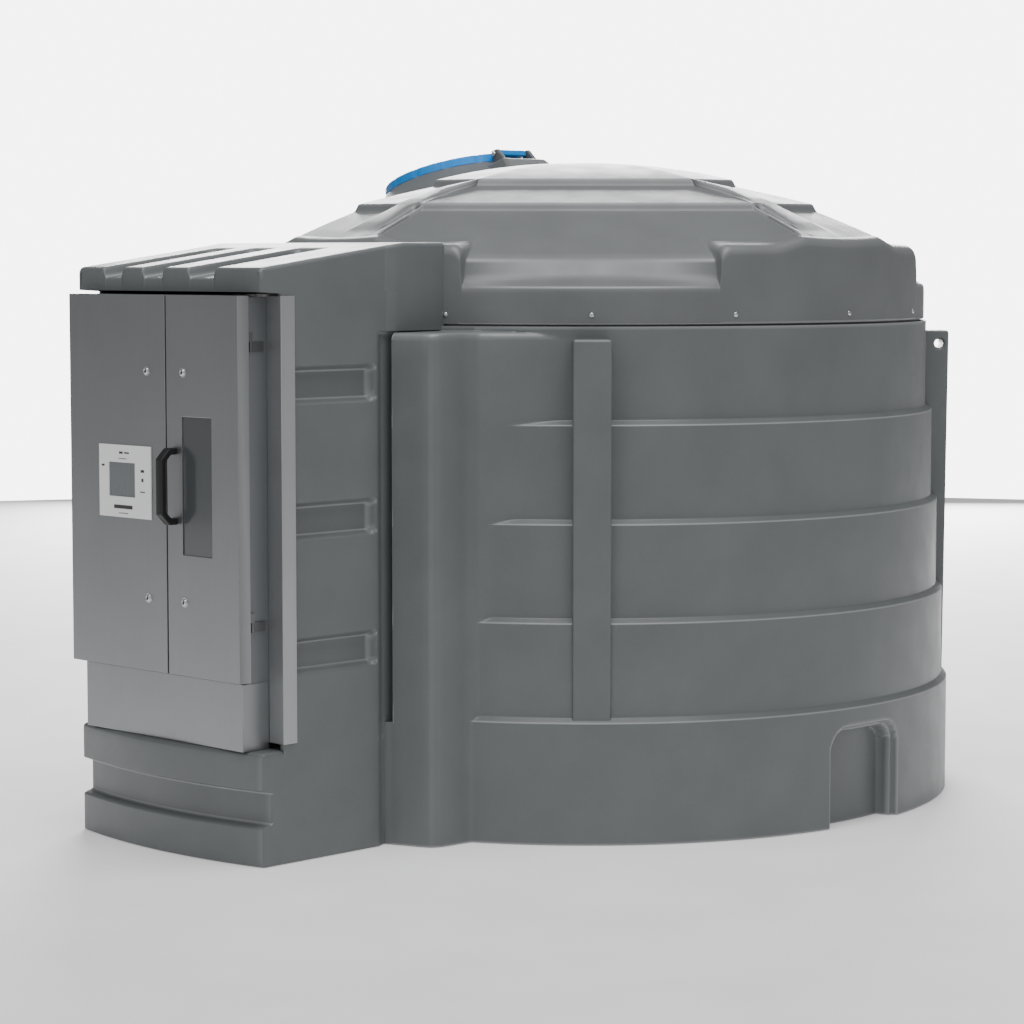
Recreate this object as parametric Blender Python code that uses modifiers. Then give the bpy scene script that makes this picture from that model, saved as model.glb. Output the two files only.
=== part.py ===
"""Bunded vertical storage tank with a dispensing cabinet, as separate pieces in one frame.

Metres, +Z up. The origin is on the tank's upright axis at ground level. The cabinet faces -Y and
+X is to the right of someone who stands in front of it. Angles round the tank are in degrees from
-Y towards +X.
"""

import math

import bmesh
import bpy
import numpy as np
from mathutils import Matrix, Vector

# Clearances
SEAT = 0.0003
FACET_SAG = 0.0023

# Outer tank: five round tiers that step in upwards
WALL = 0.012
TIER_RADII = (1.115, 1.098, 1.080, 1.062, 1.042)
LEDGE_FOOT = (0.333, 0.602, 0.869, 1.137)
LEDGE_RISE = 0.013
TANK_RIM = 1.403
FLOOR_THICK = 0.015

# Angles of the wall's facets, from the middle of each stretch between two ribs
SIDE_FACETS = (42.25, 36.5, 30.5, 24.5, 18.5, 12.5)
BACK_FACETS = (42.25, 36, 30, 24, 18, 12, 6)

WALL_END = 45 - math.degrees(SEAT / 2)

# Upright ribs, flush with the bottom tier, each with a lifting eye near its top
RIB_ANGLES = {"front_right": 45, "back_right": 135, "back_left": 225, "front_left": 315}
RIB_HALF = 2.75
RIB_FACE = 1.117
RIB_TOP = 1.37
EYE_RADIUS = 0.0135
EYE_HEIGHT = 1.33
EYE_INSET = 0.030

# Arched hand recess low in each side wall
ARCH_HALF = 0.150
ARCH_TOP = 0.280
ARCH_CORNER = 0.070
ARCH_DEPTH = 0.060
ARCH_DRAFT = 0.008

# Front box of the tank beside the cabinet, as plan points from the round wall to the cabinet
BOX_PLAN = (
    (0.670, -0.798), (0.588, -0.885), (0.550, -0.929), (0.529, -0.962), (0.521, -1.000),
    (0.518, -1.060), (0.514, -1.092), (0.503, -1.113), (0.486, -1.123), (0.440, -1.141),
)
BOX_END_LOW = (0.3728, -1.167)
BOX_END_HIGH = (0.397, -1.158)
SHOULDER_LOW = 1.366
SHOULDER_HIGH = 1.388
SHOULDER_IN = 0.020
BAY_BACK_RADIUS = 1.0257
BAY_WALL_X = 0.400
BAY_WALL_FRONT = -1.1390
BAY_HALF = math.degrees(math.asin((BAY_WALL_X - SEAT) / BAY_BACK_RADIUS))
BAY_FACETS = [BAY_HALF * step / 4 for step in range(-4, 5)]
BAY_STEP = 24.6

# Top cover
COVER_WALL = 0.010
COVER_FOOT = 1.408
SKIRT_RADIUS = 1.035
DOME_TOP = 1.865
DOME_RADIUS = 2.49
STEP_AT = (0.445, 0.671)
STEP_DROP = 0.021
STEP_HALF = 0.010
OUTER_FACET = (1.722, 0.681, 0.25, 1.00)
RIDGE_HALF = 11.2
CHANNEL_HALF = 7.2
CHANNEL_DEPTH = 0.022
BLOCK_HALF = 25.0
BLOCK_TOP = 1.625
FOLD_HEIGHT = 1.577
SKIRT_TOP = 1.509
RING_INNER = 1.012
RING_TOP = 1.450
RING_FOOT = 1.380

# Filling hatch, in a frame that dips outwards to the left
HATCH_X = -0.5335
HATCH_TILT = 16.5
NECK_BORE = 0.180
NECK_FOOT = -0.030
NECK_FOOT_RADIUS = 0.290
NECK_TOP = 0.022
NECK_TOP_RADIUS = 0.222
LID_RADIUS = 0.230
LID_THICK = 0.022
LID_HINGE_OUT = 0.253
LID_HINGE_UP = 0.0085
LUG_HALF = 0.058
LUG_REACH = (-0.045, 0.010)
BRACKET_THICK = 0.014
PAD_TOP = 0.004
PAD_REACH = (0.200, 0.320)
HATCH_PIN_RADIUS = 0.005

# Cabinet housing, moulded
HOUSING_X = 0.385
HOUSING_REAR_X = 0.3725
HOUSING_WALL = 0.012
HOUSING_FRONT = -1.605
HOUSING_BOW = 0.045
HOUSING_REAR = -0.972
HOUSING_BEND = (-1.199, -1.173)
PLINTH_TOP = 0.300
PLINTH_GROOVE = (0.100, 0.203)
PLINTH_GROOVE_DEPTH = 0.030
SHELF_BACK = -1.202
SIDE_FRONT = -1.5375
SIDE_RECESSES = ((0.494, 0.593), (0.847, 0.950), (1.204, 1.308))
RECESS_Y = (-1.505, -1.204)
RECESS_DEPTH = 0.018
ROOF_FRONT_LOW = 1.500
ROOF_FRONT_TOP = 1.562
ROOF_BACK_TOP = 1.630
ROOF_BEND_Y = -1.100
ROOF_GROOVES = ((-0.280, -0.185), (-0.111, -0.010), (0.082, 0.205))
ROOF_GROOVE_DEPTH = 0.027
ROOF_GROOVE_END = -1.200

# Cabinet enclosure, sheet steel
SHEET = 0.003
ENCLOSURE_X = 0.333
ENCLOSURE_FRONT = -1.6155
ENCLOSURE_BACK = -1.075
PANEL_FRONT = -1.632
PANEL_TOP = 0.4790
FLANGE_PLANE = -1.542
FLANGE_OUT = 0.3905
FLANGE_BACK = -1.494
FLANGE_HEIGHTS = (0.317, 1.490)
FLANGE_THICK = 0.004

# Doors
DOOR_FRONT = -1.660
DOOR_DEPTH = 0.039
DOOR_HEIGHTS = (0.485, 1.491)
DOOR_EDGE = 0.356
DOOR_SPLIT = 0.061
DOOR_GAP = 0.006
WINDOW_X = (0.127, 0.248)
WINDOW_Z = (0.807, 1.172)
PANE_LAP = 0.010
DISPLAY_X = (-0.224, -0.001)
DISPLAY_Z = (0.892, 1.087)
SCREEN_X = (-0.182, -0.069)
SCREEN_Z = (0.9475, 1.040)
DISPLAY_THICK = 0.004
HANDLE_X = (0.083, 0.109)
HANDLE_Z = (0.886, 1.089)
HANDLE_REACH = 0.055
HINGE_AXIS = (0.345, -1.608)
HINGE_HEIGHTS = {"upper": 1.345, "lower": 0.615}
BARREL_RADIUS = 0.0065
BARREL_LENGTH = 0.026
PIN_RADIUS = 0.004
PIN_CLEARANCE = 0.0004

for old in list(bpy.data.objects):
    bpy.data.objects.remove(old, do_unlink=True)

PARTS = bpy.data.collections.new("storage_tank")
CUTTERS = bpy.data.collections.new("cutters")
bpy.context.scene.collection.children.link(PARTS)
bpy.context.scene.collection.children.link(CUTTERS)
CUTTERS.hide_render = True


# Materials

def paint(name, colour, roughness, metallic=0.0):
    material = bpy.data.materials.new(name)
    material.use_nodes = True
    shader = material.node_tree.nodes["Principled BSDF"]
    shader.inputs["Base Color"].default_value = (*colour, 1.0)
    shader.inputs["Roughness"].default_value = roughness
    shader.inputs["Metallic"].default_value = metallic
    material.diffuse_color = (*colour, 1.0)
    return material


BODY_PLASTIC = paint("body_plastic", (0.13, 0.14, 0.145), 0.5)
COVER_PLASTIC = paint("cover_plastic", (0.16, 0.17, 0.175), 0.5)
LID_PLASTIC = paint("lid_plastic", (0.0, 0.17, 0.52), 0.3)
STEEL = paint("steel", (0.33, 0.34, 0.35), 0.35, 0.8)
INNER_STEEL = paint("inner_steel", (0.2, 0.21, 0.22), 0.45, 0.7)
HANDLE_PLASTIC = paint("handle_plastic", (0.02, 0.02, 0.022), 0.4)
GLASS = paint("glass", (0.3, 0.32, 0.33), 0.05)
FACEPLATE = paint("faceplate", (0.62, 0.62, 0.62), 0.4)
SCREEN_GLASS = paint("screen_glass", (0.12, 0.13, 0.135), 0.2)
HINGE_STEEL = paint("hinge_steel", (0.4, 0.41, 0.42), 0.3, 0.9)


# Makers of shapes

def add(name, mesh, material, cutter=False):
    """Puts a mesh in the scene as a part, or as a hidden cutter."""
    obj = bpy.data.objects.new(name, mesh)
    mesh.materials.append(material)
    if cutter:
        CUTTERS.objects.link(obj)
        obj.hide_render = True
        obj.display_type = "WIRE"
    else:
        PARTS.objects.link(obj)
    return obj


def mesh_from(name, work):
    """The mesh of a working shape, turned the right way out if it is closed."""
    closed = all(len(edge.link_faces) == 2 for edge in work.edges)
    if work.faces and closed and work.calc_volume(signed=True) < 0:
        bmesh.ops.reverse_faces(work, faces=work.faces)
    mesh = bpy.data.meshes.new(name)
    work.to_mesh(mesh)
    work.free()
    return mesh


def box(name, low, high, material, cutter=False, bevel=0.0):
    low, high = Vector(low), Vector(high)
    work = bmesh.new()
    size = Matrix.Diagonal((*(high - low), 1.0))
    bmesh.ops.create_cube(work, size=1.0, matrix=Matrix.Translation((low + high) / 2) @ size)
    obj = add(name, mesh_from(name, work), material, cutter)
    if bevel:
        modifier = obj.modifiers.new("edges", "BEVEL")
        modifier.width = bevel
        modifier.segments = 2
    return obj


def rod(name, start, end, radius, material, end_radius=None, sides=24, cutter=False):
    """A cylinder or cone from start to end."""
    start, end = Vector(start), Vector(end)
    turn = (end - start).to_track_quat("Z", "Y").to_matrix().to_4x4()
    work = bmesh.new()
    bmesh.ops.create_cone(
        work, cap_ends=True, segments=sides, radius1=radius,
        radius2=radius if end_radius is None else end_radius, depth=(end - start).length,
        matrix=Matrix.Translation((start + end) / 2) @ turn,
    )
    return add(name, mesh_from(name, work), material, cutter)


def outline(name, points, thickness, place, material, cutter=False):
    """A flat outline of the given thickness, centred on its plane, which place puts in the part."""
    curve = bpy.data.curves.new(name, "CURVE")
    curve.dimensions = "2D"
    curve.fill_mode = "BOTH"
    curve.extrude = thickness / 2
    spline = curve.splines.new("POLY")
    spline.points.add(len(points) - 1)
    for point, (across, up) in zip(spline.points, points):
        point.co = (across, up, 0.0, 1.0)
    spline.use_cyclic_u = True
    guide = bpy.data.objects.new(name + "_guide", curve)
    bpy.context.scene.collection.objects.link(guide)
    graph = bpy.context.evaluated_depsgraph_get()
    work = bmesh.new()
    work.from_mesh(bpy.data.meshes.new_from_object(guide.evaluated_get(graph)))
    bpy.data.objects.remove(guide, do_unlink=True)
    bmesh.ops.remove_doubles(work, verts=work.verts, dist=1e-6)
    work.transform(place)
    bmesh.ops.recalc_face_normals(work, faces=work.faces)
    return add(name, mesh_from(name, work), material, cutter)


def plane(across, up, origin):
    """The matrix that puts an outline's X along across and its Y along up, at origin."""
    across, up = Vector(across), Vector(up)
    turn = Matrix((across, up, across.cross(up))).transposed().to_4x4()
    return Matrix.Translation(origin) @ turn


def shell(name, outer, inner, material):
    """A closed wall between an outer and an inner grid of points, which have the same shape."""
    columns, rows = outer.shape[:2]
    work = bmesh.new()
    skin = [[[work.verts.new(point) for point in column] for column in grid]
            for grid in (outer, inner)]
    for i in range(columns - 1):
        for j in range(rows - 1):
            for near, far in ((side[i], side[i + 1]) for side in skin):
                work.faces.new((near[j], far[j], far[j + 1], near[j + 1]))
        for j in (0, rows - 1):
            rim = (skin[0][i][j], skin[0][i + 1][j], skin[1][i + 1][j], skin[1][i][j])
            work.faces.new(rim)
    for i in (0, columns - 1):
        for j in range(rows - 1):
            ends = (skin[0][i][j], skin[0][i][j + 1], skin[1][i][j + 1], skin[1][i][j])
            work.faces.new(ends)
    bmesh.ops.recalc_face_normals(work, faces=work.faces)
    return add(name, mesh_from(name, work), material)


def sheet(name, grid, thickness, material, outward):
    """A pressed sheet: an open grid of points that Solidify thickens away from outward."""
    columns, rows = grid.shape[:2]
    work = bmesh.new()
    points = [[work.verts.new(point) for point in column] for column in grid]
    for i in range(columns - 1):
        for j in range(rows - 1):
            work.faces.new((points[i][j], points[i + 1][j], points[i + 1][j + 1], points[i][j + 1]))
    work.normal_update()
    mean = sum((face.normal * face.calc_area() for face in work.faces), Vector())
    if mean.dot(Vector(outward)) < 0:
        bmesh.ops.reverse_faces(work, faces=work.faces)
    obj = add(name, mesh_from(name, work), material)
    modifier = obj.modifiers.new("wall", "SOLIDIFY")
    modifier.thickness = thickness
    modifier.offset = -1.0
    return obj


def combine(obj, other, operation):
    modifier = obj.modifiers.new(other.name, "BOOLEAN")
    modifier.operation = operation
    modifier.object = other


def turned(name, profile, material, steps=72):
    """A profile of (radius, height) points turned round the Z axis."""
    work = bmesh.new()
    points = [work.verts.new((radius, 0.0, height)) for radius, height in profile]
    for start, end in zip(points, points[1:] + points[:1]):
        work.edges.new((start, end))
    obj = add(name, mesh_from(name, work), material)
    modifier = obj.modifiers.new("turn", "SCREW")
    modifier.steps = modifier.render_steps = steps
    modifier.use_merge_vertices = True
    modifier.merge_threshold = 0.0001
    modifier.use_smooth_shade = False
    return obj


# Outer tank

def around(angle, radius, height):
    turn = math.radians(angle)
    return (radius * math.sin(turn), -radius * math.cos(turn), height)


def tier_profile():
    """(radius, height) of the stepped wall, from the ground up."""
    profile = [(TIER_RADII[0], 0.0)]
    for foot, below, above in zip(LEDGE_FOOT, TIER_RADII, TIER_RADII[1:]):
        profile += [(below, foot), (above, foot + LEDGE_RISE)]
    return profile + [(TIER_RADII[-1], TANK_RIM)]


def arch_rows(extra):
    """(height, half width, is inside) up the arch of a recess that is larger by extra."""
    top, corner, half = ARCH_TOP + extra, ARCH_CORNER + extra, ARCH_HALF + extra
    rows = [(0.0, half, True)]
    for rise in (0.0, 0.5, 0.8, 0.94, 1.0):
        height = top - corner + corner * rise
        width = half - corner + corner * math.sqrt(1 - min(rise, 0.94) ** 2)
        rows.append((height, width, rise < 1.0))
    return rows


def side_wall(name, centre):
    """Round wall from rib to rib, with the arched recess pressed into its foot."""
    grids = []
    for extra in (0.0, WALL):
        rows = [(height, TIER_RADII[0] - extra, half, inside)
                for height, half, inside in arch_rows(extra)]
        narrow = rows[-1][2]
        rows += [(height, radius - extra, narrow, False) for radius, height in tier_profile()[1:]]
        columns = []
        for side in (-1, 1):
            plain = [(offset, 0) for offset in (WALL_END, *SIDE_FACETS)]
            arch = [(None, 0.0), (None, ARCH_DRAFT)]
            part = [(side, *entry) for entry in plain + arch]
            columns += part if side < 0 else [(0, 0, 0), *part[::-1]]
        grid = []
        for side, offset, draft in columns:
            points = []
            for height, radius, half, inside in rows:
                if side == 0:
                    angle = 0.0
                elif offset is None:
                    angle = side * math.degrees((half - draft) / TIER_RADII[0])
                else:
                    angle = side * offset
                deep = inside and (side == 0 or offset is None and draft > 0)
                points.append(around(centre + angle, radius - deep * ARCH_DEPTH, height))
            grid.append(points)
        grids.append(np.array(grid))
    return shell(name, *grids, BODY_PLASTIC)


def back_wall(name, centre):
    angles = [centre + side * offset for side in (-1, 1)
              for offset in (WALL_END, *BACK_FACETS)]
    angles = sorted(angles + [centre])
    grids = [np.array([[around(angle, radius - extra, height) for radius, height in tier_profile()]
                       for angle in angles]) for extra in (0.0, WALL)]
    return shell(name, *grids, BODY_PLASTIC)


def front_wall(name, mirror):
    """Wall from a front rib round the front box to the cabinet, with the box's flat top."""
    plan = [around(angle, TIER_RADII[-1], 0)[:2] for angle in (WALL_END, BACK_FACETS[0])]
    plan += list(BOX_PLAN)
    rows = [*tier_profile()[:-1], (TIER_RADII[-1], SHOULDER_LOW)]
    outer, inner = [], []
    for index in range(len(plan) + 1):
        outer_column, inner_column = [], []
        for radius, height in rows:
            ends = BOX_END_LOW if height <= LEDGE_FOOT[0] else BOX_END_HIGH
            stations = [Vector(point) for point in (*plan, ends)]
            point = stations[index]
            reach = max(point.length, radius)
            ahead = stations[min(index + 1, len(plan))] - stations[max(index - 1, 0)]
            normal = Vector((-ahead.y, ahead.x)).normalized()
            if point.length < radius or index < 3:
                normal = point.normalized()
            if normal.dot(point) < 0:
                normal = -normal
            if index == len(plan):
                normal = Vector((0.0, -1.0))
            point = point.normalized() * reach
            outer_column.append((*point, height))
            inner_column.append((*(point - WALL * normal), height))
        # The sloped shoulder, then the flat top that runs in to the round wall
        edge = stations[index]
        top = Vector(outer_column[-1][:2])
        slope = top.normalized() * max(top.length - SHOULDER_IN, TIER_RADII[-1])
        if index == len(plan):
            slope = Vector((edge.x, slope.y))
        first = math.degrees(math.asin(BOX_END_HIGH[0] / TIER_RADII[-1]))
        share = index / len(plan)
        angle = WALL_END * (1 - share) + first * share
        if index < 3:
            angle = math.degrees(math.atan2(top.x, -top.y))
        rim = around(angle, TIER_RADII[-1], 0)[:2]
        rim_in = around(angle, TIER_RADII[-1] - WALL, 0)[:2]
        inner_column[-1] = (*inner_column[-1][:2], SHOULDER_LOW - WALL / 2)
        outer_column += [(*slope, SHOULDER_HIGH), (*rim, SHOULDER_HIGH + 0.002), (*rim, TANK_RIM)]
        under = Vector(rim_in) + (slope - Vector(rim)) * 0.9
        inner_column += [(*under, SHOULDER_HIGH - WALL), (*rim_in, SHOULDER_HIGH + 0.001 - WALL),
                         (*rim_in, TANK_RIM)]
        outer.append(outer_column)
        inner.append(inner_column)
    flip = np.array((mirror, 1.0, 1.0))
    return shell(name, np.array(outer) * flip, np.array(inner) * flip, BODY_PLASTIC)


def rib(name, centre):
    """Upright rib on the outside of the tiers, with the lifting eye through it."""
    rows = [(radius + SEAT, height) for radius, height in tier_profile()[2:-1]]
    first = (TIER_RADII[0] - 0.002, LEDGE_FOOT[0] + 0.0021)
    rows = [first, *rows, (TIER_RADII[-1] + SEAT, RIB_TOP)]
    angles = (centre - RIB_HALF, centre, centre + RIB_HALF)
    back = np.array([[around(angle, radius, height) for radius, height in rows]
                     for angle in angles])
    face = np.array([[around(angle, RIB_FACE, height) for radius, height in rows]
                     for angle in angles])
    obj = shell(name, face, back, BODY_PLASTIC)
    turn = math.radians(centre)
    along = Vector((math.cos(turn), math.sin(turn), 0.0))
    eye = Vector(around(centre, RIB_FACE - EYE_INSET, EYE_HEIGHT))
    cutter = rod(name + "_eye", eye - along * 0.1, eye + along * 0.1, EYE_RADIUS, BODY_PLASTIC,
                 sides=16, cutter=True)
    combine(obj, cutter, "DIFFERENCE")
    return obj


def tank_floor():
    """Floor plate inside the walls, stepped in behind the cabinet and behind each recess."""
    deep = TIER_RADII[0] - ARCH_DEPTH - WALL - 2 * SEAT
    wide = TIER_RADII[0] - WALL - 2 * SEAT
    shallow = BAY_BACK_RADIUS - WALL - 2 * SEAT
    recess = math.degrees((ARCH_HALF + WALL) / TIER_RADII[0]) + 0.5
    stops = [(angle, shallow) for angle in (*BAY_FACETS[4:], BAY_STEP)]
    stops += [(BAY_STEP + 0.4, wide), (28.8, wide), (30.6, wide), (33.6, wide), (40.0, wide)]
    stops += [(90 - offset, wide) for offset in SIDE_FACETS]
    stops += [(90 - recess, wide), (90 - recess, deep), (90, deep)]
    stops += [(180 - angle, radius) for angle, radius in reversed(stops[-1 - len(SIDE_FACETS) - 2:-1])]
    stops += [(180 - offset, wide) for offset in BACK_FACETS]
    left = [(-angle, radius) for angle, radius in reversed(stops[1:])]
    points = [around(angle, radius, 0)[:2] for angle, radius in (*stops, (180, wide), *left)]
    place = Matrix.Translation((0, 0, FLOOR_THICK / 2))
    return outline("tank_floor", points, FLOOR_THICK, place, BODY_PLASTIC)


def bay():
    """Walls of the recess in the tank's front that the cabinet stands in."""
    ceiling = RING_FOOT - SEAT
    grids = [np.array([[around(angle, BAY_BACK_RADIUS - extra, height) for height in (0, ceiling)]
                       for angle in BAY_FACETS]) for extra in (0.0, WALL)]
    shell("bay_back_wall", *grids, BODY_PLASTIC)
    low_y, high_y = BAY_WALL_FRONT, -math.sqrt((BAY_BACK_RADIUS - WALL) ** 2 - BAY_WALL_X**2)
    top = SHOULDER_LOW - WALL
    for name, side in (("right", 1), ("left", -1)):
        across = sorted((side * BAY_WALL_X, side * (BAY_WALL_X + 0.010)))
        box("bay_wall_" + name, (across[0], low_y, 0), (across[1], high_y, top), BODY_PLASTIC)


def rim_ring():
    """Upstand that closes the top of the walls and that the cover is screwed to."""
    low = TIER_RADII[-1] - WALL - FACET_SAG
    high = SKIRT_RADIUS - COVER_WALL - FACET_SAG
    profile = [(high - 0.002, RING_TOP), (high, TANK_RIM), (low, TANK_RIM), (low, RING_FOOT),
               (RING_INNER, RING_FOOT), (RING_INNER, RING_TOP)]
    return turned("rim_ring", profile, BODY_PLASTIC)


# Top cover

def dome_height(radius):
    return DOME_TOP - DOME_RADIUS + math.sqrt(DOME_RADIUS**2 - radius**2)


def facet_height(reach):
    """Height of a facet at a distance from the axis, measured square to the facet."""
    first, second = STEP_AT
    if reach < first:
        return dome_height(reach)
    if reach < second:
        return dome_height(reach) - STEP_DROP
    height, start, slope, bend = OUTER_FACET
    beyond = max(reach - start, 0.0)
    return height - slope * beyond - bend * beyond**2


def cover_column(angle):
    """Points of the cover from near the middle out to its foot, at one angle.

    Four flat-lying facets face the diagonals, ridges run between them along the main axes, and
    each ridge ends in a raised block. Between the blocks the facets fold down to the skirt.
    """
    off_axis = abs((angle + 45) % 90 - 45)
    lean = math.cos(math.radians(min(45 - off_axis, 45 - RIDGE_HALF)))
    ridge = off_axis < RIDGE_HALF
    block = off_axis < BLOCK_HALF
    channel = CHANNEL_DEPTH if off_axis < CHANNEL_HALF - 0.5 else 0.0

    def surface(radius):
        return dome_height(radius) if ridge else facet_height(radius * lean)

    rows = [(0.06, dome_height(0.06)), (0.25, dome_height(0.25 * lean))]
    for reach in STEP_AT:
        rows += [(side / lean, surface(side / lean))
                 for side in (reach - STEP_HALF, reach + STEP_HALF)]
    if block:
        rows += [(0.890, min(surface(0.890), 1.700) - channel),
                 (0.940, min(surface(0.940), 1.668) - channel), (0.970, 1.645),
                 (1.012, BLOCK_TOP), (1.031, BLOCK_TOP - 0.018), (1.034, 1.500)]
    else:
        rows += [(0.890, min(surface(0.890), 1.650)), (0.940, min(surface(0.940), 1.610)),
                 (0.980, FOLD_HEIGHT), (1.002, 1.545), (1.020, 1.522), (1.032, SKIRT_TOP)]
    rows.append((SKIRT_RADIUS, COVER_FOOT))
    return [around(angle, radius, height) for radius, height in rows]


def hatch_frame():
    """Matrix of the hatch: X uphill towards the tank's axis, Z out along the neck."""
    foot = (HATCH_X, 0.0, dome_height(abs(HATCH_X)))
    return Matrix.Translation(foot) @ Matrix.Rotation(-math.radians(HATCH_TILT), 4, "Y")


def top_cover():
    offsets = (0.0, 6.4, 7.9, 10.7, 11.7, 18.0, 24.3, 25.7, 31.0, 38.0)
    quarter = [*offsets, 45.0, *(90 - offset for offset in reversed(offsets[1:]))]
    angles = [base + offset for base in (0, 90, 180, 270) for offset in quarter]
    work = bmesh.new()
    columns = [[work.verts.new(point) for point in cover_column(angle)] for angle in angles]
    middle = work.verts.new((0.0, 0.0, DOME_TOP))
    for near, far in zip(columns, columns[1:] + columns[:1]):
        work.faces.new((middle, near[0], far[0]))
        for j in range(len(near) - 1):
            work.faces.new((near[j], near[j + 1], far[j + 1], far[j]))
    work.normal_update()
    if middle.normal.z < 0:
        bmesh.ops.reverse_faces(work, faces=work.faces)
    cover = add("top_cover", mesh_from("top_cover", work), COVER_PLASTIC)
    modifier = cover.modifiers.new("wall", "SOLIDIFY")
    modifier.thickness = COVER_WALL
    modifier.offset = -1.0
    frame = hatch_frame()
    foot, rim = (frame @ Vector((0, 0, height)) for height in (NECK_FOOT, NECK_TOP))
    neck = rod("neck", foot, rim, NECK_FOOT_RADIUS, COVER_PLASTIC, end_radius=NECK_TOP_RADIUS,
               sides=48, cutter=True)
    combine(cover, neck, "UNION")
    wide = LUG_HALF + 2 * BRACKET_THICK
    pad = box("hinge_pad", (PAD_REACH[0], -wide, -0.040), (PAD_REACH[1], wide, PAD_TOP),
              COVER_PLASTIC, cutter=True)
    pad.data.transform(frame)
    combine(cover, pad, "UNION")
    bore = rod("bore", frame @ Vector((0, 0, -0.2)), frame @ Vector((0, 0, 0.1)), NECK_BORE,
               COVER_PLASTIC, sides=40, cutter=True)
    combine(cover, bore, "DIFFERENCE")
    return cover


def hatch():
    """Lid with its lug, two brackets and the pin, with the lid's origin on the pin."""
    frame = hatch_frame()
    hinge = frame @ Vector((LID_HINGE_OUT, 0, NECK_TOP + LID_HINGE_UP))
    turn = frame.to_3x3().to_4x4()
    under = Vector((-LID_HINGE_OUT, 0, -LID_HINGE_UP + SEAT))
    work = bmesh.new()
    bmesh.ops.create_cone(work, cap_ends=True, segments=48, radius1=LID_RADIUS, depth=LID_THICK,
                          radius2=LID_RADIUS - 0.008, matrix=Matrix.Translation(
                              under + Vector((0, 0, LID_THICK / 2))))
    lid = add("hatch_lid", mesh_from("hatch_lid", work), LID_PLASTIC)
    lug = box("lid_lug", (LUG_REACH[0], -LUG_HALF, -0.008), (LUG_REACH[1], LUG_HALF, 0.012),
              LID_PLASTIC, cutter=True)
    hole = rod("lug_hole", (0, -0.1, 0), (0, 0.1, 0), HATCH_PIN_RADIUS + SEAT, LID_PLASTIC,
               sides=12, cutter=True)
    combine(lid, lug, "UNION")
    combine(lid, hole, "DIFFERENCE")
    for obj in (lid, lug, hole):
        obj.matrix_world = Matrix.Translation(hinge) @ turn
    foot = PAD_TOP + SEAT - NECK_TOP - LID_HINGE_UP
    shape = [(-0.011, foot), (0.036, foot), (0.013, 0.012), (-0.010, 0.012)]
    for name, side in (("near", -1), ("far", 1)):
        middle = side * (LUG_HALF + 0.002 + BRACKET_THICK / 2)
        place = Matrix.Translation(hinge) @ turn @ plane((1, 0, 0), (0, 0, 1), (0, middle, 0))
        bracket = outline("hatch_bracket_" + name, shape, BRACKET_THICK, place, COVER_PLASTIC)
        eye = rod(f"bracket_{name}_eye", (0, middle - 0.02, 0), (0, middle + 0.02, 0),
                  HATCH_PIN_RADIUS + SEAT, COVER_PLASTIC, sides=12, cutter=True)
        eye.matrix_world = Matrix.Translation(hinge) @ turn
        combine(bracket, eye, "DIFFERENCE")
    reach = LUG_HALF + 0.002 + BRACKET_THICK + 0.004
    pin = rod("hatch_pin", (0, -reach, 0), (0, reach, 0), HATCH_PIN_RADIUS, HINGE_STEEL,
              sides=12)
    pin.matrix_world = Matrix.Translation(hinge) @ turn


# Cabinet housing

def roof_height(y):
    share = (y - HOUSING_FRONT) / (ROOF_BEND_Y - HOUSING_FRONT)
    return ROOF_FRONT_TOP + (ROOF_BACK_TOP - ROOF_FRONT_TOP) * min(max(share, 0.0), 1.0)


def housing_side(name, side):
    """Side wall with three pressed recesses, from the plinth's foot to the roof."""
    low, high = PLINTH_GROOVE
    groove = HOUSING_FRONT + PLINTH_GROOVE_DEPTH
    fronts = [(0.0, HOUSING_FRONT), (low, HOUSING_FRONT), (low + 0.018, groove),
              (high - 0.018, groove), (high, HOUSING_FRONT), (PLINTH_TOP, HOUSING_FRONT),
              (PLINTH_TOP + 0.006, SIDE_FRONT)]
    slope = 0.020
    for bottom, top in SIDE_RECESSES:
        fronts += [(level, SIDE_FRONT) for level in (bottom, bottom + slope, top - slope, top)]
    under = ROOF_FRONT_LOW
    fronts += [(under - 0.004, SIDE_FRONT), (under, HOUSING_FRONT), (None, HOUSING_FRONT)]
    bend = HOUSING_BEND
    columns = [None, RECESS_Y[0], RECESS_Y[0] + slope, RECESS_Y[1] - slope, RECESS_Y[1],
               bend[0], bend[1], HOUSING_REAR]
    grid = []
    for number, column in enumerate(columns):
        points = []
        for height, front in fronts:
            y = front if column is None else column
            z = roof_height(y) if height is None else height
            deep = number in (2, 3) and height is not None and any(
                bottom + slope / 2 < height < top - slope / 2 for bottom, top in SIDE_RECESSES)
            x = HOUSING_X if y <= bend[0] else HOUSING_REAR_X
            points.append((side * (x - deep * RECESS_DEPTH), y, z))
        grid.append(points)
    return sheet(name, np.array(grid), HOUSING_WALL, BODY_PLASTIC, (side, 0, 0))


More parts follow.
